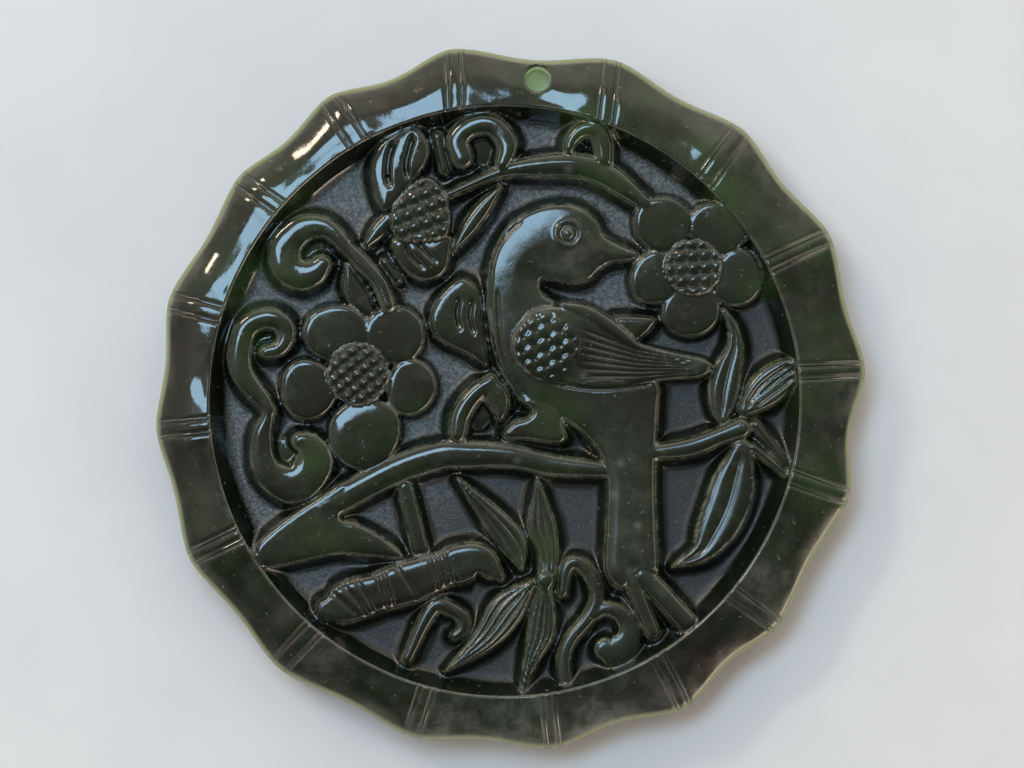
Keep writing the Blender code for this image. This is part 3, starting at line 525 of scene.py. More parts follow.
def carve_branches(relief):
    """The branch across the field with its fork, the two stalks, a curl on the upper one, and small
    twigs."""
    fork = [
        (-19.8, -11.3), (-17.6, -9.5), (-15.0, -7.8), (-13.2, -6.8), (-12.6, -8.2), (-13.6, -9.6),
        (-12.0, -10.2), (-10.0, -11.3), (-8.6, -12.8), (-11.2, -12.7), (-13.6, -12.5), (-16.0, -13.0),
        (-18.4, -13.5), (-19.8, -13.4), (-20.4, -12.4),
    ]
    relief.pebble("branch", BRANCH, fork, crown=1.4, shoulder=0.82)
    relief.ribbon("branch", BRANCH, [
        (7.2, -5.8, 0.64), (3.2, -5.4, 0.84), (0.0, -4.7, 0.89), (-3.2, -4.6, 1.04), (-5.6, -4.7, 1.09),
        (-8.8, -5.7, 1.09), (-12.0, -7.3, 1.09), (-15.0, -9.0, 1.04),
    ], shoulder=0.8)
    relief.ribbon("branch", BRANCH, [
        (11.6, -4.4, 0.64), (14.4, -4.0, 0.79), (16.8, -3.1, 0.74), (18.4, -2.5, 0.84),
    ])
    relief.ribbon("branch", BRANCH, [
        (-4.8, 16.2, 0.34), (-0.8, 17.9, 0.54), (2.4, 18.4, 0.89), (5.6, 18.4, 0.99), (8.0, 17.5, 0.99),
        (10.8, 15.4, 0.64),
    ])
    relief.ribbon("scroll", SCROLL, [
        (7.5, 19.0, 0.68), (7.4, 20.2, 0.78), (6.9, 21.3, 0.78), (5.8, 21.3, 0.68), (5.0, 20.6, 0.58),
        (4.7, 19.8, 0.48),
    ])
    relief.ribbon("twig", TWIG, [(-8.4, -7.2, 0.61), (-7.2, -12.1, 0.66)])
    relief.ribbon("twig", TWIG, [(-10.0, 10.8, 0.36), (-9.0, 9.4, 0.36)])


def carve_scrolls(relief):
    """The curls of the plant. What each winds round is left standing as a low pocket."""
    for x, y, radius in ((-16.3, 11.6, 1.7), (-2.4, 20.0, 1.7), (-19.6, 4.3, 1.6), (-17.7, -4.6, 1.7),
                         (-2.6, -1.6, 1.2)):
        outline = round_outline(x, y, radius * 0.8)
        relief.pebble("pocket", POCKET, outline, crown=radius * 0.8, shoulder=0.85, wall=0.9, swell=1.0)
    relief.ribbon("scroll", SCROLL, [
        (-3.8, 19.1, 0.83), (-4.2, 20.5, 0.83), (-3.3, 21.5, 0.83), (-1.8, 21.8, 0.83),
        (-0.8, 21.2, 0.83), (-0.2, 20.0, 0.78), (-0.6, 18.6, 0.58),
    ], shoulder=0.8, lean=(0.03, -0.06))
    relief.ribbon("scroll", SCROLL, [
        (-9.7, 7.3, 0.53), (-10.4, 9.1, 0.58), (-11.9, 10.8, 0.63), (-13.0, 11.9, 0.58),
        (-14.2, 13.2, 0.73), (-15.2, 13.6, 0.88), (-16.6, 13.4, 1.08), (-17.7, 12.4, 1.23),
        (-18.0, 11.3, 1.28), (-17.6, 10.2, 1.23), (-16.6, 9.7, 1.18), (-15.6, 10.0, 1.03),
        (-15.0, 10.6, 0.73),
    ], shoulder=0.82, lean=(0.035, -0.035))
    relief.ribbon("scroll", SCROLL, [
        (-19.4, 3.6, 0.58), (-18.5, 3.8, 0.63), (-17.9, 4.6, 0.68), (-18.0, 5.6, 0.78),
        (-18.8, 6.2, 0.83), (-19.8, 6.2, 0.83), (-20.9, 5.6, 0.88), (-21.4, 4.5, 0.88),
        (-21.6, 3.1, 0.88), (-21.3, 1.8, 0.83), (-20.5, 0.6, 0.78), (-19.7, -0.3, 0.68),
        (-19.2, -1.1, 0.53),
    ], shoulder=0.82)
    relief.ribbon("scroll", SCROLL, [
        (-19.3, -0.9, 0.43), (-19.4, -1.8, 0.53), (-19.8, -3.0, 0.78), (-19.8, -4.4, 0.88),
        (-19.5, -5.7, 1.03), (-18.6, -6.6, 1.23), (-17.3, -7.0, 1.48), (-16.1, -6.2, 1.48),
        (-15.7, -4.9, 1.48), (-16.2, -3.8, 1.08), (-16.7, -3.5, 0.68),
    ], shoulder=0.84)
    relief.ribbon("scroll", SCROLL, [
        (-1.5, 1.3, 0.53), (-2.5, 0.5, 0.73), (-3.4, -0.5, 0.78), (-4.0, -1.7, 0.78), (-4.2, -3.0, 0.68),
    ])
    relief.ribbon("scroll", SCROLL, [
        (-1.7, 1.0, 0.68), (-1.1, 0.1, 0.98), (-0.8, -0.9, 0.73), (-0.8, -1.5, 0.43),
    ])
    relief.ribbon("scroll", TWIG, [
        (-8.2, -20.9, 0.46), (-6.8, -17.8, 0.56), (-5.8, -16.6, 0.61), (-4.6, -17.0, 0.61),
        (-3.8, -17.6, 0.56), (-3.8, -18.6, 0.56), (-4.4, -19.1, 0.41),
    ])
    relief.ribbon("scroll", TWIG, [
        (4.2, -15.6, 0.41), (4.5, -13.7, 0.51), (5.4, -13.2, 0.56), (6.6, -14.5, 0.56),
        (6.9, -16.2, 0.56), (6.2, -17.7, 0.56), (4.8, -19.4, 0.56), (4.3, -21.0, 0.56),
        (4.5, -23.3, 0.56),
    ])
    relief.ribbon("scroll", TWIG, [
        (6.6, -17.4, 0.45), (7.7, -16.9, 0.5), (8.7, -17.2, 0.6), (9.4, -18.0, 0.75), (9.5, -19.0, 0.85),
        (9.1, -19.8, 1.1), (8.3, -20.3, 1.15), (7.6, -20.1, 0.8),
    ], shoulder=0.86)


def carve_leaves(relief):
    """The leaves: one behind the bird and one by the left curl, four round a node in the middle, and
    those at the right."""
    behind = [
        (-4.0, 9.5), (-5.4, 8.4), (-6.3, 6.8), (-6.3, 5.5), (-5.4, 4.4), (-3.4, 3.4), (-1.8, 2.5),
        (-2.1, 5.4), (-2.4, 7.8), (-2.9, 9.0),
    ]
    relief.pebble("behind", LEAF, behind, crown=1.4)
    relief.groove(["behind"], photo_path((459, 300), (457, 315), (460, 329)), 0.34, 0.3)
    relief.groove(["behind"], photo_path((472, 302), (470, 318), (474, 334)), 0.34, 0.3)
    relief.ribbon("leaf", LEAF, [
        (-13.0, 10.5, 0.2), (-12.6, 8.9, 0.8), (-11.7, 7.4, 0.8), (-10.8, 6.5, 0.2),
    ])
    relief.ribbon("lower leaf", LEAF, [
        (-4.2, -6.5, 0.1), (-1.4, -9.6, 0.9), (0.3, -11.8, 1.05), (0.9, -13.6, 0.2),
    ], veins=2)
    relief.ribbon("lower leaf", LEAF, [
        (2.2, -6.5, 0.1), (2.3, -8.2, 0.6), (2.5, -10.2, 1.1), (3.0, -12.2, 0.85), (3.0, -14.2, 0.7),
    ], veins=2)
    relief.pebble("node", BRANCH, round_outline(2.8, -14.6, 0.8), crown=0.7)
    relief.ribbon("lower leaf", LEAF, [
        (1.6, -15.0, 0.5), (-0.2, -16.9, 1.35), (-2.0, -19.3, 1.0), (-5.0, -21.8, 0.1),
    ], veins=3)
    relief.ribbon("lower leaf", LEAF, [
        (2.8, -15.3, 0.5), (2.6, -17.4, 1.0), (2.4, -19.0, 1.05), (1.8, -20.6, 0.7), (1.3, -22.2, 0.4),
        (0.9, -23.8, 0.25),
    ], veins=3)
    relief.ribbon("right leaf", LEAF, [
        (17.0, 7.0, 0.15), (17.8, 5.5, 0.4), (17.9, 3.9, 0.7), (17.4, 2.2, 1.1), (17.0, 0.4, 1.2),
        (16.9, -1.2, 0.75), (17.0, -1.9, 0.3),
    ], shoulder=0.8, veins=1, power=4)
    relief.ribbon("leaf", LEAF, [(18.6, -1.0, 0.4), (19.8, 0.9, 0.8), (21.4, 2.2, 0.7), (23.0, 2.8, 0.4)])
    relief.ribbon("leaf", LEAF, [
        (18.8, -1.2, 0.4), (20.8, 0.1, 0.8), (22.4, 1.4, 0.65), (23.0, 2.0, 0.3),
    ])
    relief.ribbon("leaf", LEAF, [(19.6, -2.2, 0.4), (22.0, -5.2, 0.4)])
    relief.ribbon("leaf", LEAF, [(19.4, -4.0, 0.35), (22.4, -6.5, 0.35)])
    relief.ribbon("big leaf", LEAF, [
        (18.5, -4.2, 0.8), (17.9, -6.5, 1.6), (17.3, -8.6, 1.75), (16.4, -10.6, 1.55), (15.2, -12.4, 0.9),
        (13.0, -13.5, 0.1),
    ], shoulder=0.82, veins=1, power=5)
    relief.groove(["leaf"], [(18.9, -0.6), (20.2, 1.1), (22.2, 2.5)], 0.3, 0.26)
    relief.groove(["leaf"], [(19.6, -0.7), (21.2, 0.5), (22.6, 1.6)], 0.3, 0.26)


def carve_bud(relief):
    """The long bud: a barrel in three lengths, with nine lines cut round it."""
    relief.ribbon("bud", BRANCH, [
        (-14.6, -16.9, 0.9), (-13.8, -16.7, 1.5), (-12.6, -16.2, 1.7), (-11.2, -15.8, 1.62),
        (-10.4, -15.5, 1.5),
    ], shoulder=0.74, power=5)
    relief.ribbon("bud", BRANCH, [
        (-10.2, -15.45, 1.6), (-8.8, -15.0, 1.72), (-7.4, -14.55, 1.7), (-5.7, -13.9, 1.5),
    ], shoulder=0.76, power=5)
    relief.ribbon("bud", BRANCH, [
        (-5.4, -13.8, 1.4), (-4.0, -13.3, 1.6), (-2.4, -13.0, 1.3), (-1.3, -13.9, 0.75),
        (-0.7, -14.4, 0.3),
    ], shoulder=0.74, power=5)
    for x, y, half, degrees, width in (
            (-13.3, -16.4, 1.5, 50, 0.3), (-12.4, -16.1, 1.7, 40, 0.3), (-11.5, -15.9, 1.7, 30, 0.3),
            (-10.3, -15.5, 1.7, 17, 0.22), (-9.7, -15.3, 1.7, 17, 0.22), (-8.2, -14.8, 1.6, 35, 0.3),
            (-6.1, -14.05, 1.5, 17, 0.22), (-5.5, -13.85, 1.5, 17, 0.22), (-4.9, -13.65, 1.5, 17, 0.22)):
        lean = math.radians(degrees)
        side = np.array([-math.sin(lean), math.cos(lean)]) * half
        round_it = [(x + side[0], y + side[1]), (x + 0.12, y), (x - side[0], y - side[1])]
        relief.groove(["bud"], round_it, width, 0.2)


def carve(plan):
    """The whole front over the given corners. What lies on the rim isn't moved onto lines."""
    relief = Relief(plan)
    lay_rim(relief)
    carve_scrolls(relief)
    carve_leaves(relief)
    carve_branches(relief)
    carve_bud(relief)
    carve_blossoms(relief)
    carve_bird(relief)
    relief.pull[relief.from_crest > -0.02] = 0
    return relief


def disc_grid():
    """Corners of a square grid wrapped on the disc: the corners at k steps from the middle, which form a
    square of 8k, are set at even turns round ring k. On the rim the rings go from its inner crest to the
    outline, closer together at both."""
    rings = FIELD_RINGS + RIM_RINGS
    i, j = np.meshgrid(np.arange(-rings, rings + 1), np.arange(-rings, rings + 1), indexing="ij")
    ring = np.maximum(np.abs(i), np.abs(j))
    wide = np.abs(i) >= np.abs(j)
    eighth = math.pi / 4
    sideways = eighth * j / np.where(i == 0, 1, i)
    upright = 2 * eighth - eighth * i / np.where(j == 0, 1, j)
    turn = np.where(wide, sideways, upright) + np.where(np.where(wide, i < 0, j < 0), math.pi, 0)
    ahead = np.stack([np.cos(turn), np.sin(turn)], -1)
    crest = FIELD_MIDDLE + FIELD_RADIUS * ahead
    bearing = np.arctan2(crest[..., 1], crest[..., 0])
    edge = reach(bearing)[..., None] * np.stack([np.cos(bearing), np.sin(bearing)], -1)
    passed = np.clip((ring - FIELD_RINGS) / RIM_RINGS, 0, 1)
    share = 0.45 * passed + 0.55 * (0.5 - 0.5 * np.cos(math.pi * passed))
    field = FIELD_MIDDLE + ahead * (FIELD_RADIUS * ring / FIELD_RINGS)[..., None]
    return np.where((ring > FIELD_RINGS)[..., None], crest + (edge - crest) * share[..., None], field)


def snap(plan):
    """Moves corners that lie close to a crest or to the bottom of a line nearly onto it, twice over."""
    for _ in range(2):
        plan = plan + carve(plan).pull * 0.95
    return plan


def hole_middle():
    """The middle of the cord hole: on its bearing, in from the outline by its edge and its radius."""
    away = reach(np.array([HOLE_BEARING]))[0] - HOLE_EDGE - HOLE_RADIUS
    return away * np.array([math.cos(HOLE_BEARING), math.sin(HOLE_BEARING)])


def edge_loops(quads):
    """The closed loops of corners along which quads end, the shortest first: the sides that one quad has
    alone, each followed by the one that starts where it ends."""
    sides = np.stack([quads, np.roll(quads, -1, axis=1)], -1).reshape(-1, 2)
    count = sides.max() + 1
    alone = ~np.isin(sides[:, 0] * count + sides[:, 1], sides[:, 1] * count + sides[:, 0])
    ahead = dict(sides[alone].tolist())
    loops = []
    while ahead:
        start, corner = ahead.popitem()
        loop = [start]
        while corner != start:
            loop.append(corner)
            corner = ahead.pop(corner)
        loops.append(loop)
    return sorted(loops, key=len)


def make_front():
    """The carved front: its corners and quads, the loops of corners round the cord hole and the disc, and
    the relief with which of its corners are used. The quads in the hole are left out, the corners round
    it are set on its circle, and its edge dips by an exponential of the distance from it."""
    grid = disc_grid()
    plan = snap(grid.reshape(-1, 2))
    number = np.arange(len(plan)).reshape(grid.shape[:2])
    quads = np.stack([number[:-1, :-1], number[1:, :-1], number[1:, 1:], number[:-1, 1:]], -1)
    quads = quads.reshape(-1, 4)
    centre = hole_middle()
    quads = quads[np.linalg.norm(plan[quads].mean(1) - centre, axis=1) > HOLE_RADIUS]
    loops = edge_loops(quads)
    hole, edge = np.array(loops[0]), np.array(loops[-1])
    out = plan[hole] - centre
    plan[hole] = centre + out / np.linalg.norm(out, axis=1)[:, None] * HOLE_RADIUS
    relief = carve(plan)
    from_hole = np.linalg.norm(plan - centre, axis=1) - HOLE_RADIUS
    corners = np.column_stack([plan, relief.height - 0.06 * np.exp(-np.maximum(from_hole, 0) / 0.16)])
    used = np.unique(quads)
    lookup = np.full(len(corners), -1)
    lookup[used] = np.arange(len(used))
    return corners[used], lookup[quads], lookup[hole], lookup[edge], relief, used


def make_stone():
    """The closed stone: the carved front, the side, the wall of the hole and the flat back. Also the
    relief, which of its corners are used, and the corners on the hole's wall above its last loop."""
    front, quads, hole, edge, relief, used = make_front()
    corners, count = [front], len(front)
    faces = [split_quads(quads, front)]
    outer = front[edge][:, :2]
    out = outer / np.linalg.norm(outer, axis=1)[:, None]
    above = edge
    for inset, level in SIDE_LOOPS:
        corners.append(np.column_stack([outer - out * inset, np.full(len(edge), level)]))
        below = count + np.arange(len(edge))
        faces.append(band(above, below))
        above, count = below, count + len(edge)
    through = hole
    for level in HOLE_LOOPS:
        corners.append(np.column_stack([front[hole][:, :2], np.full(len(hole), level)]))
        below = count + np.arange(len(hole))
        faces.append(band(through, below))
        through, count = below, count + len(hole)
    inner = np.arange(count - len(HOLE_LOOPS) * len(hole), count - len(hole))
    corners = np.vstack(corners)
    faces.append(flat_back(corners, above, through))
    return corners, np.vstack(faces), relief, used, inner


def split_quads(quads, corners):
    """Two triangles for each quad, split along the diagonal whose ends are closer, most of all in height,
    so that edges run along it. A split that leaves a very thin triangle is avoided."""
    across = corners[quads[:, [0, 1]]] - corners[quads[:, [2, 3]]]
    cost = np.abs(across[..., 2]) + 0.15 * np.linalg.norm(across[..., :2], axis=2)
    thin = []
    for order in ((0, 1, 2), (0, 2, 3)), ((0, 1, 3), (1, 2, 3)):
        areas = []
        for triangle in order:
            a, b, c = (corners[quads[:, k], :2] for k in triangle)
            areas.append(np.abs((b - a)[:, 0] * (c - a)[:, 1] - (b - a)[:, 1] * (c - a)[:, 0]))
        thin.append(np.minimum(*areas) < 0.2 * (areas[0] + areas[1]))
    cost += 9.0 * np.stack(thin, 1)
    first = cost[:, :1] <= cost[:, 1:]
    a = np.where(first, quads[:, [0, 1, 2]], quads[:, [0, 1, 3]])
    b = np.where(first, quads[:, [0, 2, 3]], quads[:, [1, 2, 3]])
    return np.vstack([a, b])


def band(above, below):
    """Triangles between two loops with as many corners."""
    ahead_above, ahead_below = np.roll(above, -1), np.roll(below, -1)
    upper = np.stack([ahead_above, above, below], 1)
    lower = np.stack([ahead_above, below, ahead_below], 1)
    return np.vstack([upper, lower])


def flat_back(corners, rim_loop, through):
    """The back: flat triangles between the side's last loop of corners and the hole's, facing down."""
    loops = np.concatenate([rim_loop, through])
    lines = [(k, (k + 1) % len(rim_loop)) for k in range(len(rim_loop))]
    lines += [(len(rim_loop) + k, len(rim_loop) + (k + 1) % len(through)) for k in range(len(through))]
    points = [Vector(p) for p in corners[loops, :2]]
    _, _, found, sources, _, _ = delaunay_2d_cdt(points, lines, [], 0, 1e-6)
    triangles = np.array([[sources[k][0] for k in face] for face in found])
    middles = corners[loops][triangles][:, :, :2].mean(1)
    keep = inside(middles, corners[rim_loop, :2]) & ~inside(middles, corners[through, :2])
    triangles = triangles[keep]
    a, b, c = (corners[loops][triangles[:, k], :2] for k in range(3))
    turn = (b - a)[:, 0] * (c - a)[:, 1] - (b - a)[:, 1] * (c - a)[:, 0]
    triangles = np.where((turn > 0)[:, None], triangles[:, ::-1], triangles)
    return loops[triangles]


def mesh_of(name, corners, faces):
    """A mesh in metres from corners in millimetres and triangles."""
    mesh = bpy.data.meshes.new(name)
    mesh.vertices.add(len(corners))
    mesh.vertices.foreach_set("co", (corners * 0.001).astype(np.float32).ravel())
    mesh.loops.add(faces.size)
    mesh.loops.foreach_set("vertex_index", faces.astype(np.int32).ravel())
    mesh.polygons.add(len(faces))
    mesh.polygons.foreach_set("loop_start", np.arange(0, faces.size, 3, dtype=np.int32))
    mesh.polygons.foreach_set("loop_total", np.full(len(faces), 3, np.int32))
    mesh.update(calc_edges=True)
    mesh.validate()
    return mesh


def note(mesh, name, values):
    """Gives each corner a value that the material reads by its name."""
    mesh.attributes.new(name, "FLOAT", "POINT").data.foreach_set("value", values.astype(np.float32))


def spots(plan, places):
    """A patch round each place, as a bell curve of the distance, and the strongest where they overlap."""
    total = np.zeros(len(plan))
    for x, y, radius, strength in places:
        far = np.linalg.norm(plan - photo(x, y), axis=1)
        total = np.maximum(total, strength * np.exp(-((far / radius) ** 2)))
    return total


# Where the stone is greener, redder, milkier (partly a painted sheen), darker (painted shade) and paler:
# each patch's place in the photograph, its radius in millimetres and its strength
GREEN_PATCHES = (
    (722, 198, 1.8, 1), (600, 190, 2.2, .7), (573, 120, 2.2, 1), (610, 240, 1.5, .7), (300, 205, 2.4, .9),
    (258, 280, 2.6, 1), (310, 250, 1.4, .9), (245, 300, 2.0, .9), (830, 235, 3.2, .6),
    (825, 320, 3.0, .5), (790, 400, 2.6, .4), (640, 110, 2.4, .5), (700, 150, 2.6, .5),
    (310, 460, 2.2, .8), (330, 530, 2.4, .5), (560, 420, 3.0, .4), (255, 345, 1.8, .7),
    (430, 420, 1.6, .4), (820, 480, 2.4, .5), (765, 290, 1.6, .9), (540, 545, 1.5, .5),
    (690, 360, 1.4, .7),
)
RUSSET_PATCHES = (
    (720, 650, 3.2, 1), (185, 365, 3.0, .8), (740, 120, 3.0, .6), (400, 90, 3.0, .7), (300, 640, 3.0, .5),
    (845, 330, 2.4, .5), (190, 470, 3.0, .6), (660, 690, 2.4, .7), (470, 60, 2.0, .5),
)
MILKY_AND_SHEEN_PATCHES = (
    (450, 735, 2.8, 1), (520, 738, 3.4, 1), (600, 722, 2.8, 1), (665, 690, 1.6, .6), (760, 585, 2.4, .5),
    (775, 160, 2.6, .7), (810, 200, 2.2, .6), (715, 118, 2.0, .5), (325, 655, 2.0, .6),
    (845, 400, 2.0, .4), (575, 262, 2.6, .45), (545, 300, 2.2, .3), (645, 480, 3.0, .15),
    (640, 540, 3.0, .2),
)
SHADY_PATCHES = (
    (395, 592, 5.0, 1), (655, 372, 4.0, 1), (160, 330, 3.5, .9), (165, 430, 3.5, .8), (300, 640, 3.0, .4),
    (235, 130, 4.0, .4), (330, 400, 3.5, .7), (700, 640, 3.5, .8), (380, 340, 3.0, .6),
    (330, 90, 4.0, .4),
)
PALE_SPOTS = (
    (637, 525, .28, 1), (714, 490, .4, .7), (620, 463, .3, .9), (613, 494, .3, .8), (629, 570, .3, .7),
    (568, 170, .3, .7), (517, 460, .3, .6), (583, 376, .25, .9), (606, 520, .2, .6),
)


def add_stone():
    """The pendant's one piece, with the marks on its corners that the jade reads."""
    corners, faces, relief, used, inner = make_stone()
    plan = corners[:, :2].copy()
    corners[:, :2] -= DISC_MIDDLE
    mesh = mesh_of("jade_pendant", corners, faces)

    def front_only(values, beyond=0.0):
        return np.concatenate([values[used], np.full(len(corners) - len(used), beyond)])

    note(mesh, "ground", front_only(ease((GROUND + 0.34 - relief.height) / 0.3)))
    # How far in from the outline, for the painted glow at the thin edge
    note(mesh, "from_side", front_only(relief.from_side, BEYOND_FRONT))
    # Walls of the rim and the forms, where the jade paints shade
    note(mesh, "wall", front_only(relief.wall))
    for name, values in relief.marks.items():
        note(mesh, name, front_only(values))
    note(mesh, "joint_off", front_only(relief.joint_off, NO_BAND))
    note(mesh, "on_rim", front_only(ease(0.5 + relief.from_crest / 0.3)))
    note(mesh, "green", spots(plan, GREEN_PATCHES))
    note(mesh, "russet", spots(plan, RUSSET_PATCHES))
    note(mesh, "milky_and_sheen", spots(plan, MILKY_AND_SHEEN_PATCHES))
    note(mesh, "shady", spots(plan, SHADY_PATCHES))
    note(mesh, "pale", spots(plan, PALE_SPOTS))
    on_body = (relief.owner == "body") * ease((relief.plan[:, 1] + 6) / 8)
    note(mesh, "satin", front_only(on_body + 0.3 * (relief.owner == "scales"), 0.2))
    # Duller polish towards the lower right, and there also painted shade on the ground and greener crest
    # highlights
    note(mesh, "dull_and_shaded", ease((0.6 * plan[:, 0] - 0.8 * plan[:, 1] + 6) / 22))
    # The lower wall of the cord hole, which gets painted light and a painted glow
    bore = np.zeros(len(plan))
    bore[inner] = 1
    note(mesh, "bore", bore)
    mesh.polygons.foreach_set("use_smooth", np.ones(len(mesh.polygons), bool))
    mesh.materials.append(jade_material())
    stone = bpy.data.objects.new("jade_pendant", mesh)
    bpy.context.scene.collection.objects.link(stone)
    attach(stone, "root")
    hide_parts("pendant")


class Nodes:
    """Short words for making nodes and joining them."""

    def __init__(self, tree):
        self.tree = tree

    def add(self, kind, **settings):
        """A new node with these settings."""
        node = self.tree.nodes.new(kind)
        for name, value in settings.items():
            setattr(node, name, value)
        return node

    def join(self, a, b):
        """Leads an output to an input."""
        self.tree.links.new(a, b)

    def attribute(self, name):
        """A value that the mesh carries at its corners."""
        return self.add("ShaderNodeAttribute", attribute_name=name).outputs["Fac"]

    def math(self, operation, a, b=None, clamp=False):
        """One step of arithmetic on numbers or outputs."""
        node = self.add("ShaderNodeMath", operation=operation, use_clamp=clamp)
        for socket, value in zip(node.inputs, (a, b)):
            if isinstance(value, (int, float)):
                socket.default_value = value
            elif value is not None:
                self.join(value, socket)
        return node.outputs[0]

    def mix(self, share, a, b):
        """The colour a with b laid over it by a share from 0 to 1."""
        node = self.add("ShaderNodeMix", data_type="RGBA")
        for name, value in (("Factor", share), ("A", a), ("B", b)):
            socket = node.inputs[name]
            if isinstance(value, (int, float)):
                socket.default_value = value
            elif isinstance(value, tuple):
                socket.default_value = (*value, 1.0)
            else:
                self.join(value, socket)
        return node.outputs["Result"]

    def tint(self, colour, mask, strength, other):
        """A colour with another laid over it by a mask times a strength."""
        return self.mix(self.math("MULTIPLY", mask, strength), colour, other)

    def dot(self, vector, ahead):
        """How far a direction points ahead."""
        node = self.add("ShaderNodeVectorMath", operation="DOT_PRODUCT")
        self.join(vector, node.inputs[0])
        node.inputs[1].default_value = ahead
        return node.outputs["Value"]

    def noise(self, coordinate, scale, detail=3.0, roughness=0.55):
        """Smooth noise about 0.5."""
        node = self.add("ShaderNodeTexNoise")
        node.inputs["Scale"].default_value = scale
        node.inputs["Detail"].default_value = detail
        node.inputs["Roughness"].default_value = roughness
        self.join(coordinate, node.inputs["Vector"])
        return node.outputs["Fac"]

    def spread(self, value, low, high, to_low=0.0, to_high=1.0):
        """A smooth step of a value, from one number at low to another at high."""
        node = self.add("ShaderNodeMapRange", interpolation_type="SMOOTHSTEP")
        self.join(value, node.inputs["Value"])
        names = ("From Min", "From Max", "To Min", "To Max")
        for name, number in zip(names, (low, high, to_low, to_high)):
            node.inputs[name].default_value = number
        return node.outputs["Result"]


# The jade's colours, and those of its ground, among them painted shade, painted crest highlights, a
# painted sheen and painted glows
NEAR_BLACK = (0.008, 0.012, 0.006)
DEEP_GREEN = (0.010, 0.020, 0.008)
GREY_GREEN = (0.024, 0.031, 0.019)
RUSSET = (0.028, 0.015, 0.013)
BRIGHT_GREEN = (0.03, 0.066, 0.015)
# Partly paler stone, partly a painted sheen
MILKY_AND_SHEEN = (0.10, 0.108, 0.09)
SHADE = (0.004, 0.004, 0.003)
# Painted shade for the walls and recesses
PAINTED_RECESS_SHADE = (0.003, 0.005, 0.003)
# Painted glow at the thin edge
PAINTED_EDGE_GLOW = (0.30, 0.34, 0.13)
# Painted light and a painted glow for the cord hole
PAINTED_BORE_LIGHT = (0.85, 0.9, 0.62)
BORE_GLOW = (0.07, 0.1, 0.055)
GROUND_DARK = (0.018, 0.021, 0.02)
GROUND_PALE = (0.16, 0.172, 0.166)
# Painted shade for the ground towards the lower right
GROUND_PAINTED_SHADE = (0.010, 0.012, 0.009)
# Painted highlights on the crests
CREST_HIGHLIGHT_GREY = (0.15, 0.165, 0.125)
CREST_HIGHLIGHT_GREEN = (0.14, 0.15, 0.085)
SPECK = (0.2, 0.21, 0.18)
PALE_SPOT = (0.12, 0.13, 0.11)


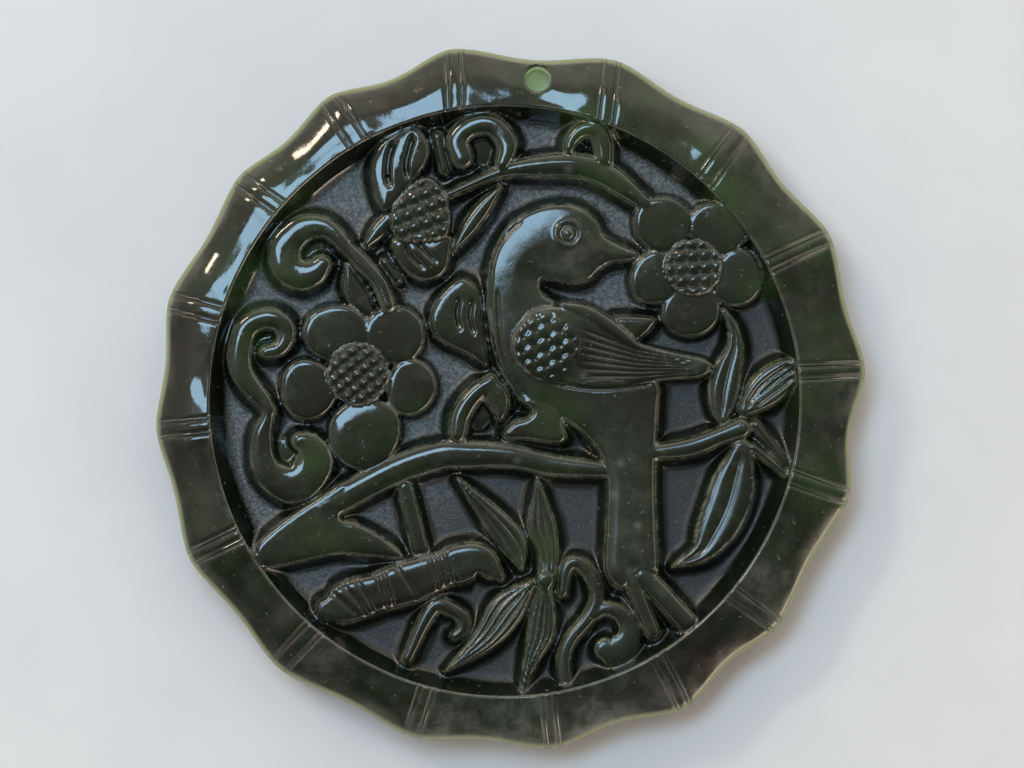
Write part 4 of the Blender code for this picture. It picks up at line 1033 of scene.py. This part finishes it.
def jade_material():
    """Dark green jade: mottled, with green and russet patches, milkier patches that are partly a painted
    sheen and patches of painted shade, glossy on the tops, with painted highlights on its crests, a
    painted glow at its thin edge and in the cord hole, painted shade on its walls, and with a grey grain
    on the ground that has painted shade towards the lower right."""
    material = bpy.data.materials.new("dark green jade")
    material.use_nodes = True
    n = Nodes(material.node_tree)
    shader = material.node_tree.nodes["Principled BSDF"]
    place = n.add("ShaderNodeTexCoord").outputs["Object"]
    clouds = n.noise(place, 190.0, 4.0)
    mottle = n.noise(place, 700.0, 4.0, 0.65)
    grain = n.noise(place, 4600.0, 3.0, 0.7)
    ground = n.attribute("ground")
    dull_and_shaded = n.attribute("dull_and_shaded")
    bore = n.attribute("bore")

    colour = n.mix(n.spread(clouds, 0.4, 0.62), NEAR_BLACK, DEEP_GREEN)
    colour = n.mix(n.spread(mottle, 0.48, 0.7, 0.0, 0.8), colour, GREY_GREEN)
    russet = n.math("MULTIPLY", n.attribute("russet"), n.spread(mottle, 0.42, 0.62))
    colour = n.tint(colour, russet, 0.8, RUSSET)
    green = n.math("MULTIPLY", n.attribute("green"), n.spread(clouds, 0.3, 0.6))
    colour = n.tint(colour, green, 0.85, BRIGHT_GREEN)
    # Milkier patches: partly paler stone, partly a painted sheen
    milky_and_sheen = n.math("MULTIPLY", n.attribute("milky_and_sheen"), n.spread(mottle, 0.35, 0.62, 0.3, 1.0))
    colour = n.tint(colour, milky_and_sheen, 0.9, MILKY_AND_SHEEN)
    shady = n.math("MULTIPLY", n.attribute("shady"), n.spread(clouds, 0.3, 0.6, 0.5, 1.0))
    colour = n.tint(colour, shady, 0.85, SHADE)
    # Painted shade on the walls of the rim and of the carved forms, less where the stone is green
    painted_recess_shade = n.math("SUBTRACT", n.attribute("wall"), n.attribute("green"), clamp=True)
    colour = n.tint(colour, painted_recess_shade, 0.85, PAINTED_RECESS_SHADE)
    # Painted glow of light coming through the thin outer edge
    colour = n.tint(colour, n.spread(n.attribute("from_side"), 0.5, 0.05), 0.8, PAINTED_EDGE_GLOW)
    # Painted light on the wall of the cord hole, as if it came through the stone
    colour = n.tint(colour, bore, 0.9, PAINTED_BORE_LIGHT)
    grey = n.mix(n.spread(grain, 0.35, 0.7), GROUND_DARK, GROUND_PALE)
    # Painted shade on the ground, darker towards the lower right
    grey = n.mix(n.spread(dull_and_shaded, 0.05, 0.6, 0.0, 0.9), grey, GROUND_PAINTED_SHADE)
    colour = n.mix(ground, colour, grey)
    # Painted highlights along the crests, broken by the mottle, greener towards the lower right
    crest = n.mix(n.spread(dull_and_shaded, 0.5, 0.9), CREST_HIGHLIGHT_GREY, CREST_HIGHLIGHT_GREEN)
    painted_crest_highlight = n.math("MULTIPLY", n.attribute("crest"), n.spread(mottle, 0.38, 0.6, 0.15, 0.75))
    colour = n.mix(painted_crest_highlight, colour, crest)
    colour = n.tint(colour, n.spread(n.noise(place, 2600.0, 1.0), 0.715, 0.775), 0.4, SPECK)
    colour = n.tint(colour, n.attribute("pale"), 0.7, PALE_SPOT)
    n.join(colour, shader.inputs["Base Color"])

    satin = n.math("MULTIPLY", n.attribute("satin"), 0.05)
    rough = n.math("ADD", satin, n.spread(mottle, 0.3, 0.8, 0.06, 0.14))
    rough = n.math("ADD", rough, n.math("MULTIPLY", ground, 0.3))
    rough = n.math("ADD", rough, n.math("MULTIPLY", dull_and_shaded, 0.12))
    n.join(rough, shader.inputs["Roughness"])
    shader.inputs["IOR"].default_value = 1.62
    # A painted glow on the lower wall of the cord hole
    n.join(n.mix(bore, (0.0, 0.0, 0.0), BORE_GLOW), shader.inputs["Emission Color"])
    shader.inputs["Emission Strength"].default_value = 1.0

    bump = n.add("ShaderNodeBump")
    bump.inputs["Strength"].default_value = 1.0
    bump.inputs["Distance"].default_value = 0.00006
    grainy = n.math("MULTIPLY", grain, n.math("ADD", n.math("MULTIPLY", ground, 0.9), 0.02))
    ripple = n.math("MULTIPLY", n.noise(place, 900.0, 3.0), 0.2)
    n.join(n.math("SUBTRACT", n.math("ADD", grainy, ripple), cut_lines(n)), bump.inputs["Height"])
    n.join(bump.outputs["Normal"], shader.inputs["Normal"])
    return material


def cut_lines(n):
    """How deep the fine lines are: two in each band of a joint, and those between seeds, feathers and
    veins. The mesh carries a count across them: a feather or a vein has its line at a whole number, a
    seed at a half."""
    joint = n.math("ABSOLUTE", n.math("SUBTRACT", n.math("ABSOLUTE", n.attribute("joint_off")), 0.15))
    joint = n.math("MULTIPLY", n.spread(joint, 0.13, 0.0), n.attribute("on_rim"))
    u, v = (n.math("PINGPONG", n.attribute(name), 0.5) for name in ("seed_u", "seed_v"))
    seeds = n.spread(n.math("MAXIMUM", u, v), 0.36, 0.5)
    seeds = n.math("MULTIPLY", seeds, n.attribute("seeded"))
    line = n.math("PINGPONG", n.attribute("line"), 0.5)
    lines = n.math("MULTIPLY", n.spread(line, 0.2, 0.0), n.attribute("lined"))
    total = n.math("ADD", n.math("MULTIPLY", joint, 1.1), n.math("MULTIPLY", seeds, 1.4))
    return n.math("ADD", total, n.math("MULTIPLY", lines, 0.9))


def paper_material():
    """Matt white, a little uneven."""
    material = bpy.data.materials.new("white paper")
    material.use_nodes = True
    n = Nodes(material.node_tree)
    shader = material.node_tree.nodes["Principled BSDF"]
    place = n.add("ShaderNodeTexCoord").outputs["Object"]
    patches = n.spread(n.noise(place, 60.0, 3.0), 0.3, 0.7)
    n.join(n.mix(patches, (0.76, 0.765, 0.78), (0.80, 0.805, 0.815)), shader.inputs["Base Color"])
    shader.inputs["Roughness"].default_value = 0.85
    return material


def add_floor():
    """The plain pale floor: one square."""
    mesh = bpy.data.meshes.new("paper")
    side = 1.2
    corners = [(-side, -side, 0), (side, -side, 0), (side, side, 0), (-side, side, 0)]
    mesh.from_pydata(corners, [], [(0, 1, 2, 3)])
    mesh.materials.append(paper_material())
    floor = bpy.data.objects.new("paper", mesh)
    bpy.context.scene.collection.objects.link(floor)


def add_camera():
    """Straight above the stone, at the photograph's scale: the lens fits the photograph's width, at the
    height of the carving, to the sensor."""
    camera = bpy.data.cameras.new("camera")
    camera.sensor_width = 36
    height, carving = 0.36, 0.004
    camera.lens = camera.sensor_width * (height - carving) / (PHOTO_SIZE[0] * POINT * 0.001)
    camera.clip_start = 0.01
    holder = bpy.data.objects.new("camera", camera)
    x, y = photo(PHOTO_SIZE[0] / 2, PHOTO_SIZE[1] / 2)
    holder.location = ((x - DISC_MIDDLE[0]) * 0.001, (y - DISC_MIDDLE[1]) * 0.001, height)
    bpy.context.scene.collection.objects.link(holder)
    bpy.context.scene.camera = holder


def add_light(name, bearing, zenith, distance, size, power, colour):
    """A soft panel that faces the stone, placed by its bearing from +X and its angle from straight up."""
    light = bpy.data.lights.new(name, "AREA")
    light.shape = "RECTANGLE"
    light.size, light.size_y = size
    light.energy = power
    light.color = colour
    holder = bpy.data.objects.new(name, light)
    a, e = math.radians(bearing), math.radians(zenith)
    away = Vector((math.cos(a) * math.sin(e), math.sin(a) * math.sin(e), math.cos(e)))
    holder.location = away * distance
    holder.rotation_mode = "QUATERNION"
    holder.rotation_quaternion = away.to_track_quat("Z", "Y")
    bpy.context.scene.collection.objects.link(holder)


def add_lights():
    """Two soft panels at the upper left, a low one opposite, and a room about them that is dark overhead,
    lighter on its far side and brightest at the horizon."""
    add_light("sky panel", 130, 21, 0.6, (0.32, 0.16), 1.5, (0.45, 0.74, 1.0))
    add_light("warm panel", 135, 54, 1.0, (0.28, 0.1), 2.2, (1.0, 0.8, 0.6))
    add_light("far panel", -42, 77, 1.0, (0.7, 0.3), 3.0, (1.0, 0.76, 0.58))
    world = bpy.data.worlds.new("room")
    world.use_nodes = True
    n = Nodes(world.node_tree)
    background = world.node_tree.nodes["Background"]
    background.inputs["Color"].default_value = (0.96, 0.87, 0.765, 1.0)
    ahead = n.add("ShaderNodeTexCoord").outputs["Generated"]
    lit_side = n.spread(n.dot(ahead, (-0.3, 0.95, 0.0)), -0.5, 0.7, 0.12, 0.95)
    horizon = n.spread(n.dot(ahead, (0.0, 0.0, 1.0)), 0.5, 0.0, 0.0, 1.7)
    uneven = n.spread(n.noise(ahead, 1.5, 0.0), 0.35, 0.65, 0.7, 1.3)
    n.join(n.math("MULTIPLY", n.math("ADD", lit_side, horizon), uneven), background.inputs["Strength"])
    bpy.context.scene.world = world


add_camera()
add_stone()
add_floor()
add_lights()
bpy.context.scene.view_settings.view_transform = "Standard"
